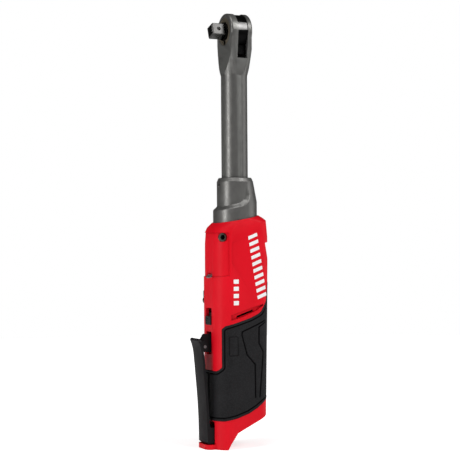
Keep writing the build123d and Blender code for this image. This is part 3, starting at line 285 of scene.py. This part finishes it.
def edged_piece(name, bm, bevel_mm, segments, angle):
    """An object made from an edited mesh, with rounded edges and smooth shading."""
    mesh = bpy.data.meshes.new(name)
    bm.to_mesh(mesh)
    bm.free()
    piece = linked(name, mesh)
    modifier = piece.modifiers.new("edges", "BEVEL")
    modifier.width = bevel_mm * MM
    modifier.segments = segments
    modifier.limit_method = "ANGLE"
    modifier.angle_limit = math.radians(angle)
    smooth_by_angle(piece, angle)
    return piece


def linked(name, data):
    """A new object in the scene."""
    thing = bpy.data.objects.new(name, data)
    bpy.context.scene.collection.objects.link(thing)
    return thing


def refined(node_name, bevel_mm, slot=None):
    """A cleaned and edge-rounded version of one CAD node, which it replaces."""
    piece = edged_piece(node_name + "_fine", cleaned_copy(node_name), bevel_mm, 3, 32)
    finish_piece(piece, node_name, slot)
    return piece


def smooth_by_angle(piece, angle):
    """Apply modifiers, then smooth shading with sharp edges past an angle and weighted normals."""
    apply_modifiers(piece)
    mesh = piece.data
    for polygon in mesh.polygons:
        polygon.use_smooth = True
    mesh.set_sharp_from_angle(angle=math.radians(angle))
    modifier = piece.modifiers.new("weights", "WEIGHTED_NORMAL")
    modifier.keep_sharp = True
    apply_modifiers(piece)


def apply_modifiers(piece):
    """Bake every modifier of a piece into its mesh."""
    depsgraph = bpy.context.evaluated_depsgraph_get()
    depsgraph.update()
    baked = bpy.data.meshes.new_from_object(piece.evaluated_get(depsgraph), depsgraph=depsgraph)
    piece.modifiers.clear()
    piece.data = baked


def finish_piece(piece, node_name, slot=None):
    """Material, body and replaced node of a finished piece."""
    slot = slot or slot_of_node[node_name]
    piece.data.materials.clear()
    piece.data.materials.append(materials[slot])
    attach(piece, bodies_of_nodes[node_name])
    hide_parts(node_name)


# ---------------------------------------------------------------- outline helpers
def filleted(corners, radii, steps=6):
    """A closed outline with each corner rounded by its radius, as an array of points."""
    corners = [np.array(c, float) for c in corners]
    points = []
    for i, corner in enumerate(corners):
        before = corners[i - 1] - corner
        after = corners[(i + 1) % len(corners)] - corner
        reach_before, reach_after = np.linalg.norm(before), np.linalg.norm(after)
        before, after = before / reach_before, after / reach_after
        half = math.acos(np.clip(before @ after, -1, 1)) / 2
        if half > math.radians(88):
            points.append(corner)
            continue
        cut = min(radii[i] / math.tan(half), 0.45 * reach_before, 0.45 * reach_after)
        start, end = corner + before * cut, corner + after * cut
        for t in np.linspace(0, 1, steps + 1):
            points.append((1 - t) ** 2 * start + 2 * t * (1 - t) * corner + t * t * end)
    return np.array(points)


def distance_to_lines(points, line, closed=False):
    """Distance from each point to a polyline."""
    ends = np.roll(line, -1, axis=0) if closed else line[1:]
    starts = line if closed else line[:-1]
    best = np.full(len(points), 1e9)
    for start, end in zip(starts, ends):
        run = end - start
        t = np.clip(((points - start) @ run) / max(run @ run, 1e-12), 0, 1)
        best = np.minimum(best, np.linalg.norm(points - start - t[:, None] * run, axis=1))
    return best


def inside(points, outline):
    """True for each point inside a closed outline."""
    result = np.zeros(len(points), bool)
    x, y = points[:, 0], points[:, 1]
    for (x1, y1), (x2, y2) in zip(outline, np.roll(outline, -1, axis=0)):
        crosses = (y1 > y) != (y2 > y)
        at = (x2 - x1) * (y - y1) / (y2 - y1 if y2 != y1 else 1e-12) + x1
        result ^= crosses & (x < at)
    return result


def depth_inside(points, outline):
    """Distance inside a closed outline, negative outside it."""
    distance = distance_to_lines(points, outline, closed=True)
    return np.where(inside(points, outline), distance, -distance)


def smoothstep(value):
    """0 below 0, 1 above 1 and a soft step between them."""
    value = np.clip(value, 0, 1)
    return value * value * (3 - 2 * value)


def make_mesh_piece(name, points, faces):
    """A new mesh object from points in millimetres and faces."""
    mesh = bpy.data.meshes.new(name)
    mesh.from_pydata([tuple(p) for p in np.asarray(points) * MM], [], [tuple(f) for f in faces])
    mesh.validate()
    return linked(name, mesh)


# ---------------------------------------------------------------- the handle's outer surface
FRONT_Y = -22.7
SIDE_X = 19.0
FRONT_RADIUS = 13.0
BACK_RADIUS = 8.0
FRONT_FLAT = SIDE_X - FRONT_RADIUS
BACK_FLAT = SIDE_X - BACK_RADIUS
FRONT_ARC = FRONT_RADIUS * math.pi / 2
BACK_ARC = BACK_RADIUS * math.pi / 2
SIDE_START_Y = FRONT_Y + FRONT_RADIUS
BACK_LOW_Y = 18.6
BACK_LEAN = 2.6
BACK_LEAN_TOP = 140.0
# steeper than round the handle, so that points beyond its back pass the centre line
BEYOND_BACK = 2.0


def back_y(z):
    """The handle's back leans in towards the battery end."""
    return BACK_LOW_Y + BACK_LEAN * np.clip(z / BACK_LEAN_TOP, 0, 1)


def girth_at(y, z):
    """Distance round the handle from the front centre line to where a side point lies."""
    y, z = np.asarray(y, float), np.asarray(z, float)
    side_end = back_y(z) - BACK_RADIUS
    front = np.arccos(np.clip((SIDE_START_Y - y) / FRONT_RADIUS, 0, 1)) * FRONT_RADIUS + FRONT_FLAT
    side = FRONT_FLAT + FRONT_ARC + (y - SIDE_START_Y)
    back = FRONT_FLAT + FRONT_ARC + (side_end - SIDE_START_Y)
    back = back + np.arcsin(np.clip((y - side_end) / BACK_RADIUS, 0, 1)) * BACK_RADIUS
    result = np.where(y < SIDE_START_Y, front, np.where(y > side_end, back, side))
    result = np.where(y < FRONT_Y, FRONT_FLAT + (y - FRONT_Y), result)
    return np.where(y > back_y(z), back + BEYOND_BACK * (y - back_y(z)), result)


def half_girth(z):
    """Distance round the handle from the front centre line to the back one."""
    return FRONT_FLAT + FRONT_ARC + (back_y(z) - BACK_RADIUS - SIDE_START_Y) + BACK_ARC + BACK_FLAT


def handle_point(girth, z):
    """Point and outward normal (X, Y) on the +X half of the handle, for arrays of girth and z."""
    side_end = back_y(z) - BACK_RADIUS
    side = side_end - SIDE_START_Y
    front_angle = np.clip((girth - FRONT_FLAT) / FRONT_RADIUS, 0, math.pi / 2)
    back_angle = np.clip((girth - FRONT_FLAT - FRONT_ARC - side) / BACK_RADIUS, 0, math.pi / 2)
    along_front = np.clip(girth, None, FRONT_FLAT)
    along_side = np.clip(girth - FRONT_FLAT - FRONT_ARC, 0, side)
    along_back = np.clip(girth - FRONT_FLAT - FRONT_ARC - side - BACK_ARC, 0, None)
    x = along_front + FRONT_RADIUS * np.sin(front_angle) - BACK_RADIUS * (1 - np.cos(back_angle)) - along_back
    y = FRONT_Y + FRONT_RADIUS * (1 - np.cos(front_angle)) + along_side + BACK_RADIUS * np.sin(back_angle)
    turn = front_angle + back_angle
    return x, y, np.sin(turn), -np.cos(turn)


# ---------------------------------------------------------------- rubber skin
# outline on the side of the handle, in Y and Z, with the radius of each corner
SKIN_EDGE = [
    (-30.0, 21.5, 0.1), (-17.4, 21.7, 3.0), (-7.8, 23.7, 6.0), (1.8, 26.8, 6.0), (9.1, 30.8, 4.0),
    (14.0, 34.4, 2.0), (19.3, 38.57, 0.5), (30.0, 38.57, 0.1), (30.0, 127.0, 0.1),
    (19.0, 127.0, 4.0), (17.4, 112.0, 6.0), (11.6, 103.0, 8.0), (3.5, 99.3, 8.0), (-7.1, 96.1, 6.0),
    (-16.8, 93.5, 0.9), (-18.9, 91.2, 0.9), (-18.9, 62.4, 1.6), (-21.5, 59.4, 1.6), (-30.0, 59.4, 0.1),
]
GROOVE_FRONT = [(15.8, 97.1), (8.0, 93.4), (-3.5, 88.9), (-3.8, 86.5), (0.4, 71.4), (7.1, 63.9), (7.3, 38.8)]
GROOVE_BACK = [(15.9, 95.6), (10.6, 92.1), (10.5, 79.8), (14.1, 73.1), (11.0, 39.0)]
BADGE = [(-13.9, 71.0), (-7.2, 71.0), (-7.2, 85.3), (-13.9, 85.3)]
SKIN_CELL = 0.5
SKIN_LOW = 19.5
SKIN_HIGH = 129.0
SKIN_PROUD = 0.25
SKIN_THICK = 1.1
ROLL_WIDTH = 0.7                # how far in the skin's edge rolls down, and by how much
ROLL_DROP = 0.45
RIM_WIDTH = 2.3
FIELD_DROP = 0.12               # the field inside the rim lies lower, and the badge back up
GROOVE_HALF = 0.5
GROOVE_DEPTH = 0.6
BADGE_LINE_HALF = 0.34
BADGE_LINE_SHARE = 0.6          # of the other grooves' depth
SEAM_HALF = 0.35
SEAM_DEPTH = 0.25
HOLES_LEFT = [(14.2, 75.0), (-17.4, 30.0)]
HOLE_RADIUS = 3.0


def unrolled(outline):
    """An outline given in Y and Z, as girth and Z."""
    outline = np.asarray(outline, float)
    return np.stack([girth_at(outline[:, 0], outline[:, 1]), outline[:, 1]], axis=1)


def line_at(distance, half):
    """1 on a line and 0 away from it, for distances to the line."""
    return np.exp(-((distance / half) ** 2))


def skin_piece(side, node_name):
    """One half of the rubber skin: raised rim, groove inside it, decor grooves and a plain badge."""
    outline = unrolled(filleted([c[:2] for c in SKIN_EDGE], [c[2] for c in SKIN_EDGE]))
    front_line = unrolled(GROOVE_FRONT)
    back_line = unrolled(GROOVE_BACK)
    badge = unrolled(filleted(BADGE, [0.8] * 4))
    holes = unrolled(HOLES_LEFT) if side < 0 else []

    def depth_at(points):
        depth = depth_inside(points, outline)
        for hole in holes:
            depth = np.minimum(depth, np.linalg.norm(points - hole, axis=1) - HOLE_RADIUS)
        return depth

    rows = np.arange(SKIN_LOW, SKIN_HIGH, SKIN_CELL)
    columns = int(round(half_girth(70.0) / SKIN_CELL))
    share = np.linspace(0, 1, columns + 1)
    z = np.repeat(rows, columns + 1)
    girth = np.tile(share, len(rows)) * half_girth(z)
    flat = np.stack([girth, z], axis=1)
    # pull the nearest points onto the edge, so that the outline is clean
    depth = depth_at(flat)
    step = 0.02
    slope = np.stack(
        [
            (depth_at(flat + [step, 0]) - depth_at(flat - [step, 0])) / (2 * step),
            (depth_at(flat + [0, step]) - depth_at(flat - [0, step])) / (2 * step),
        ],
        axis=1,
    )
    near = np.abs(depth) < 0.51 * SKIN_CELL
    flat[near] -= slope[near] * depth[near, None]
    flat[:, 0] = np.clip(flat[:, 0], 0, half_girth(flat[:, 1]))
    depth = depth_at(flat)
    girth, z = flat[:, 0], flat[:, 1]
    # height of the surface over the handle
    height = SKIN_PROUD - ROLL_DROP * (1 - smoothstep(depth / ROLL_WIDTH)) ** 2
    groove = line_at(depth - RIM_WIDTH, GROOVE_HALF)
    for line in (front_line, back_line):
        groove = np.maximum(groove, line_at(distance_to_lines(flat, line), GROOVE_HALF))
    badge_depth = depth_inside(flat, badge)
    groove = np.maximum(groove, BADGE_LINE_SHARE * line_at(badge_depth, BADGE_LINE_HALF))
    height -= GROOVE_DEPTH * groove
    height -= FIELD_DROP * smoothstep((depth - RIM_WIDTH) / 0.6)
    height += FIELD_DROP * smoothstep(badge_depth / 0.5)
    seam = np.minimum(girth, half_girth(z) - girth)
    height -= SEAM_DEPTH * line_at(seam, SEAM_HALF)
    x, y, nx, ny = handle_point(girth, z)
    points = np.stack([side * (x + nx * height), y + ny * height, z], axis=1)
    width = columns + 1
    keep = depth > -1e-3
    faces = []
    for row in range(len(rows) - 1):
        for column in range(columns):
            a = row * width + column
            corners = [a, a + 1, a + width + 1, a + width]
            present = [c for c in corners if keep[c]]
            if len(present) < 3:
                continue
            faces.append(present if side > 0 else present[::-1])
    piece = make_mesh_piece(node_name + "_skin", points, faces)
    shade = piece.data.attributes.new("groove", "FLOAT", "POINT")
    shade.data.foreach_set("value", groove.astype(np.float32))
    tidy_mesh(piece, merge=0.01)
    modifier = piece.modifiers.new("thickness", "SOLIDIFY")
    modifier.thickness = SKIN_THICK * MM
    modifier.offset = -1
    smooth_by_angle(piece, 50)
    finish_piece(piece, node_name)


def tidy_mesh(piece, merge=0.004):
    """Merge doubled points, drop loose ones and face everything outwards."""
    bm = bmesh.new()
    bm.from_mesh(piece.data)
    bmesh.ops.remove_doubles(bm, verts=bm.verts, dist=merge * MM)
    loose = [v for v in bm.verts if not v.link_faces]
    bmesh.ops.delete(bm, geom=loose, context="VERTS")
    bmesh.ops.recalc_face_normals(bm, faces=bm.faces)
    bm.to_mesh(piece.data)
    bm.free()


skin_piece(1, "overmould_right")
skin_piece(-1, "overmould_left")


# ---------------------------------------------------------------- collar
COLLAR_SMALL = 13.85
COLLAR_LARGE = 16.85
COLLAR_LOW = 149.0
COLLAR_TOP = 206.0
# line where the step starts on the large radius: degrees from the front and Z
STEP_LINE = [
    (-116, 230), (-112, 192), (-103, 187.5), (-87, 184.0), (-55, 182.0), (-25, 181.0),
    (25, 181.0), (55, 182.0), (87, 184.0), (103, 187.5), (112, 192), (116, 230),
]
STEP_RADII = [0.1, 6, 5, 5, 9, 9, 9, 9, 5, 5, 6, 0.1]
STEP_RUN = 3.1
ARC_PER_RADIAN = 15.0           # at the collar's middle radius
CONE_START = 187.5
CONE_RUN = 16.1
RIM_LOW = 202.9
# the chamfered rim: how far in, and Z
RIM_PROFILE = [
    (0.0, 203.0), (0.08, 203.2), (0.25, 203.45), (1.05, 205.3), (1.25, 205.65), (1.5, 205.9),
    (1.85, COLLAR_TOP),
]
# the inside from the rim down: radius and Z
BORE_PROFILE = [
    (10.75, COLLAR_TOP), (10.18, 205.4), (10.18, 177.0), (6.0, 177.0), (6.0, 173.0), (9.5, 173.0),
    (9.5, 165.6), (14.8, 165.6), (14.8, COLLAR_LOW),
]
NOTCH_HALF = 1.5
NOTCH_LOW = 199.4
NOTCH_FLOOR = 11.7
NOTCH_REACH = 30                # degrees to each side of the front


def make_collar():
    """The gear case: a cone at the back, stepped in to a cylinder at the front and sides."""
    turns = 360
    heights = np.concatenate([np.arange(COLLAR_LOW, 178.0, 1.5), np.arange(178.0, RIM_LOW, 0.25)])
    angle = np.linspace(-180, 180, turns, endpoint=False)
    arc_per_degree = math.radians(ARC_PER_RADIAN)
    outline = filleted([(a * arc_per_degree, z) for a, z in STEP_LINE], STEP_RADII)

    def radius_at(z):
        flat = np.stack([angle * arc_per_degree, np.full(turns, z)], axis=1)
        cone = COLLAR_LARGE - (COLLAR_LARGE - COLLAR_SMALL - 0.1) * np.clip((z - CONE_START) / CONE_RUN, 0, 1)
        share = depth_inside(flat, outline) / STEP_RUN
        inward = 0.35 * smoothstep(share) + 0.65 * np.clip(share, 0, 1)
        radius = cone + (COLLAR_SMALL - cone) * inward
        across = np.abs(radius * np.sin(np.radians(angle)))
        notch = (1 - smoothstep((across - NOTCH_HALF) / 0.3)) * (np.abs(angle) < NOTCH_REACH)
        notch *= smoothstep((z - NOTCH_LOW) / 0.35)
        return radius + (NOTCH_FLOOR - radius) * notch

    rings = [(radius_at(z), z) for z in heights]
    top = radius_at(RIM_LOW)
    for inset, z in RIM_PROFILE:
        rings.append((np.where(top > NOTCH_FLOOR + 0.9, top - inset, top), z))
    rings += [(np.full(turns, radius), z) for radius, z in BORE_PROFILE]
    points, faces = [], []
    sine, cosine = np.sin(np.radians(angle)), np.cos(np.radians(angle))
    for radius, z in rings:
        points += list(np.stack([radius * sine, -radius * cosine, np.full(turns, z)], axis=1))
    for i in range(len(rings)):
        following = (i + 1) % len(rings)
        for j in range(turns):
            k = (j + 1) % turns
            faces.append((i * turns + j, i * turns + k, following * turns + k, following * turns + j))
    piece = make_mesh_piece("gear_case_cast", points, faces)
    tidy_mesh(piece)
    smooth_by_angle(piece, 40)
    finish_piece(piece, "gear_case")


make_collar()


# ---------------------------------------------------------------- anvil: chromed square and dark hub
HUB_FRONT_Y = -9.6


def cut_piece(node_name, name, plane_y, keep_front, bevel_mm, slot):
    """The part of a CAD node in front of or behind a plane across the head, closed and rounded."""
    bm = cleaned_copy(node_name)
    cut_across(bm, (0, plane_y * MM, 0), (0, 1 if keep_front else -1, 0), clear=True)
    open_edges = [e for e in bm.edges if len(e.link_faces) == 1]
    bmesh.ops.holes_fill(bm, edges=open_edges, sides=0)
    finish_piece(edged_piece(name, bm, bevel_mm, 3, 32), node_name, slot)


cut_piece("anvil", "anvil_square", HUB_FRONT_Y + 0.02, True, 0.3, "drive_chrome")
cut_piece("anvil", "anvil_hub", HUB_FRONT_Y, False, 0.15, "dark_steel")


# ---------------------------------------------------------------- yoke: dark ring with bright bands as a painted highlight
refined("yoke", 0.2, slot="dark_steel")
YOKE_RADIUS = 13.2
HEAD_Z = 318.1
HIGHLIGHT_START, HIGHLIGHT_END = 1, 28    # degrees above the drive's height
HIGHLIGHT_SUNK = 0.3
HIGHLIGHT_PROUD = 0.08
HIGHLIGHT_MARGIN = 0.25


def make_yoke_highlight_bands():
    """Two bright bands on the rim of the yoke, one seen in each mouth of the slot: a painted highlight of a
    lamp's reflection on the polished rim.
    """
    low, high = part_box("yoke")
    front, back = low.y / MM + HIGHLIGHT_MARGIN, high.y / MM - HIGHLIGHT_MARGIN
    points, faces = [], []
    for side in (-1, 1):
        start = len(points)
        angles = np.radians(np.linspace(HIGHLIGHT_START, HIGHLIGHT_END, 16))
        for angle in angles:
            for radius in (YOKE_RADIUS - HIGHLIGHT_SUNK, YOKE_RADIUS + HIGHLIGHT_PROUD):
                for y in (front, back):
                    points.append((side * radius * math.cos(angle), y, HEAD_Z + radius * math.sin(angle)))
        count = len(angles)
        for i in range(count - 1):
            a, b = start + 4 * i, start + 4 * i + 4
            for p, q in ((0, 1), (1, 3), (3, 2), (2, 0)):
                faces.append((a + p, a + q, b + q, b + p))
        last = start + 4 * (count - 1)
        faces.append((start, start + 1, start + 3, start + 2))
        faces.append((last, last + 1, last + 3, last + 2))
    piece = make_mesh_piece("yoke_highlight_bands", points, faces)
    tidy_mesh(piece)
    smooth_by_angle(piece, 40)
    finish_piece(piece, "yoke", "bright_steel")


make_yoke_highlight_bands()


# ---------------------------------------------------------------- paddle
PADDLE_HALF = 8.25
PADDLE_CROWN = 0.55
CROWN_CUTS = 7.4
# the crown fades in from here towards the front, so the hinge block and the lugs keep their shape
LEVER_START_Y = -25.0
LEVER_RUN = 1.2


def make_paddle():
    """The lever: crowned across its width above the hinge block, with soft edges."""
    bm = cleaned_copy("paddle")
    for x in np.linspace(-CROWN_CUTS, CROWN_CUTS, 13):
        cut_across(bm, (x * MM, 0, 0), (1, 0, 0))
    for vertex in bm.verts:
        x, y, _ = np.array(vertex.co) / MM
        lever = float(smoothstep((LEVER_START_Y - y) / LEVER_RUN))
        vertex.co.y += PADDLE_CROWN * (x / PADDLE_HALF) ** 2 * lever * MM
    finish_piece(edged_piece("paddle_lever", bm, 0.6, 4, 38), "paddle")


make_paddle()


# ---------------------------------------------------------------- printed bars on both sides
BODY_DEPTH = 43.9
LEAN = 0.3                      # how far the side leans in at the shoulder
LEAN_LOW, LEAN_HIGH = 155.5, 163.2
LEAN_LOW_RISE, LEAN_HIGH_RISE = 5.0, 10.0
# the crease that the wedge starts from: its Y at the top, and how it runs back lower down
CREASE_Y = -11.6
CREASE_SHIFT = 19.3
CREASE_TOP = 140.8
CREASE_RUN = 28.2
WEDGE_X = 18.55
WEDGE_Y = -12.0
WEDGE_SLOPE = 0.5 / 33.2
BAR_PROUD = 0.07
BAR_SUNK = 0.12
# the topmost of the slanted bars and of the small ones, and the step from each bar to the next
SLANTED = [(2.0, 161.0), (9.4, 163.9), (9.8, 161.3), (2.4, 158.4)]
SLANTED_STEP = (0.82, -5.03)
SMALL = [(-10.4, 128.6), (-6.2, 128.6), (-6.2, 125.4), (-10.4, 125.4)]
SMALL_STEP = (0.0, -5.4)


def side_face_x(y, z):
    """Where the handle's side face lies: a wedge behind the crease, which leans in at the shoulder."""
    share = (y - FRONT_Y) / BODY_DEPTH
    low = LEAN_LOW + LEAN_LOW_RISE * share
    high = LEAN_HIGH + LEAN_HIGH_RISE * share
    lean = LEAN * float(np.clip((z - low) / (high - low), 0, 1))
    behind = y > CREASE_Y + CREASE_SHIFT * float(np.clip((CREASE_TOP - z) / CREASE_RUN, 0, 1))
    wedge = WEDGE_X + (y - WEDGE_Y) * WEDGE_SLOPE if behind else SIDE_X
    return min(wedge, SIDE_X - lean)


def bar(points, faces, corners, side):
    """One printed bar, as a thin slab on the side face: its corners are in Y and Z."""
    outline = filleted(corners, [0.25] * len(corners), 3)
    start, count = len(points), len(outline)
    for proud in (BAR_PROUD, -BAR_SUNK):
        for y, z in outline:
            points.append((side * (side_face_x(y, z) + proud), y, z))
    faces.append(tuple(range(start, start + count)))
    faces.append(tuple(range(start + 2 * count - 1, start + count - 1, -1)))
    for i in range(count):
        k = (i + 1) % count
        faces.append((start + i, start + k, start + count + k, start + count + i))


def make_print(side, name):
    """Plain white bars: a column of slanted ones and four small ones."""
    points, faces = [], []
    for corners, (step_y, step_z), count in ((SLANTED, SLANTED_STEP, 10), (SMALL, SMALL_STEP, 4)):
        for i in range(count):
            bar(points, faces, [(y + i * step_y, z + i * step_z) for y, z in corners], side)
    piece = make_mesh_piece(name, points, faces)
    tidy_mesh(piece)
    piece.data.materials.append(materials["white_print"])
    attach(piece, "casing")


make_print(1, "side_bars_right")
make_print(-1, "side_bars_left")


# ---------------------------------------------------------------- the remaining seen parts, rounded
# Y and Z of the screws, and how far out the top of each head lies
SCREWS = [
    (-17.4, 160.5, 15.1), (17.0, 160.5, 15.1), (-18.2, 112.0, 14.7), (14.2, 75.0, 17.9), (-17.4, 30.0, 15.1),
]
SOCKET_RADIUS = 2.15
SOCKET_START = 0.3              # below the top of the head


def paint_socket_shade(piece):
    """Mark the insides of the screws' sockets for painted shade, which makes them dark."""
    socket_shade = []
    for vertex in piece.data.vertices:
        x, y, z = (c / MM for c in vertex.co)
        near = [top for sy, sz, top in SCREWS if math.hypot(y - sy, z - sz) < SOCKET_RADIUS]
        socket_shade.append(1.0 if near and abs(x) < near[0] - SOCKET_START else 0.0)
    piece.data.attributes.new("groove", "FLOAT", "POINT").data.foreach_set("value", socket_shade)


EDGES = {
    "head_neck": 0.45, "housing_right": 0.45, "housing_left": 0.45, "paddle_arm": 0.5, "lock_slide": 0.35,
    "reverse_knob": 0.3, "retaining_ring": 0.2, "anvil_washer": 0.1, "housing_screws": 0.2,
    "neck_set_screw": 0.15, "gauge_lens": 0.3,
}
rounded = {name: refined(name, bevel_mm) for name, bevel_mm in EDGES.items()}
paint_socket_shade(rounded["housing_screws"])


# ---------------------------------------------------------------- studio
ROOM = 0.03
# how much the paper glows on the object, by metres from it, and how much when looked at
FLOOR_GLOW = [(0.08, 0.45), (0.70, 1.0)]
SEEN_GLOW = [(0.08, 0.62), (0.60, 1.0)]
FLOOR_RADIUS = 1.1
# the glow left in reflections, so that surfaces seen edge-on keep their own colour
MIRRORED_GLOW = 0.2


def make_floor():
    """A large pale disc under the object."""
    bm = bmesh.new()
    bmesh.ops.create_circle(bm, cap_ends=True, radius=FLOOR_RADIUS, segments=96)
    mesh = bpy.data.meshes.new("floor")
    bm.to_mesh(mesh)
    bm.free()
    s = Shader("floor_paper")
    grain = s.noise(3.0, 3.0)
    s.set(Base_Color=s.mix(grain, (0.86, 0.86, 0.86), (0.90, 0.90, 0.90)), Roughness=0.8)
    reach = s.add("ShaderNodeVectorMath", operation="LENGTH", Vector=s.position).outputs["Value"]
    path = s.add("ShaderNodeLightPath").outputs
    glow = s.mix(path["Is Camera Ray"], s.ramp(reach, FLOOR_GLOW), s.ramp(reach, SEEN_GLOW))
    s.set(Emission_Color=s.mix(path["Is Glossy Ray"], glow, (MIRRORED_GLOW,) * 3))
    s.principled.inputs["Emission Strength"].default_value = 1.0
    s.principled.inputs["Specular IOR Level"].default_value = 0.0
    mesh.materials.append(s.material)
    linked("floor", mesh)


# the camera looks level from 65 degrees round from the front, at half the tool's height
CAMERA_AZIMUTH = math.radians(65)
CAMERA_DISTANCE = 1.05
CAMERA_HEIGHT = 0.166
CAMERA_SIDESTEP = -0.0039
CAMERA_ROLL = math.radians(-0.42)
LENS = 106.8

back = Vector((math.sin(CAMERA_AZIMUTH), -math.cos(CAMERA_AZIMUTH), 0))
right = Vector((math.cos(CAMERA_AZIMUTH), math.sin(CAMERA_AZIMUTH), 0))


def make_camera():
    """The view of the whole tool, almost level and from the right."""
    data = bpy.data.cameras.new("camera")
    data.lens = LENS
    data.sensor_width = 36.0
    camera = linked("camera", data)
    up = Vector((0, 0, 1))
    turn = Matrix.Rotation(CAMERA_ROLL, 3, back)
    axes = Matrix((turn @ right, turn @ up, back)).transposed()
    place = back * CAMERA_DISTANCE + right * CAMERA_SIDESTEP + up * CAMERA_HEIGHT
    camera.matrix_world = Matrix.Translation(place) @ axes.to_4x4()
    bpy.context.scene.camera = camera


def area_light(name, place, target, size, power):
    """A white rectangular lamp at a place, turned to a target."""
    data = bpy.data.lights.new(name, "AREA")
    data.shape = "RECTANGLE"
    data.size, data.size_y = size
    data.energy = power
    aim = (Vector(target) - place).to_track_quat("-Z", "Y")
    linked(name, data).matrix_world = Matrix.Translation(place) @ aim.to_matrix().to_4x4()


def around(degrees, distance, height):
    """A place that many degrees to the right of the camera, seen from above, at a distance from the tool."""
    turn = math.radians(degrees)
    return (right * math.sin(turn) + back * math.cos(turn)) * distance + Vector((0, 0, height))


def make_world():
    """A dim room for the object, seen as a pale one behind it."""
    world = bpy.data.worlds.new("studio")
    world.use_nodes = True
    tree = world.node_tree
    background = tree.nodes["Background"]
    background.inputs["Strength"].default_value = 1.0
    path = tree.nodes.new("ShaderNodeLightPath")
    mix = tree.nodes.new("ShaderNodeMix")
    mix.data_type = "RGBA"
    tree.links.new(path.outputs["Is Camera Ray"], mix.inputs[0])
    mix.inputs[6].default_value = (ROOM, ROOM, ROOM, 1)
    mix.inputs[7].default_value = (1.0, 1.0, 1.0, 1)
    tree.links.new(mix.outputs[2], background.inputs["Color"])
    bpy.context.scene.world = world


def make_studio():
    """Floor, dim room and four lamps: two tall ones at the sides and two above."""
    make_floor()
    make_world()
    middle = (0, 0, 0.17)
    area_light("key", around(-54, 1.3, 0.40), middle, (0.26, 1.3), 9.0)
    area_light("rim", around(98, 1.2, 0.3), middle, (0.7, 1.2), 2.8)
    area_light("top", around(-20, 0.5, 1.5), middle, (0.8, 0.8), 7)
    area_light("upper_right", around(55, 1.15, 1.05), (0, 0, 0.30), (0.85, 0.7), 10.2)


make_studio()
make_camera()
bpy.context.scene.view_settings.view_transform = "Standard"
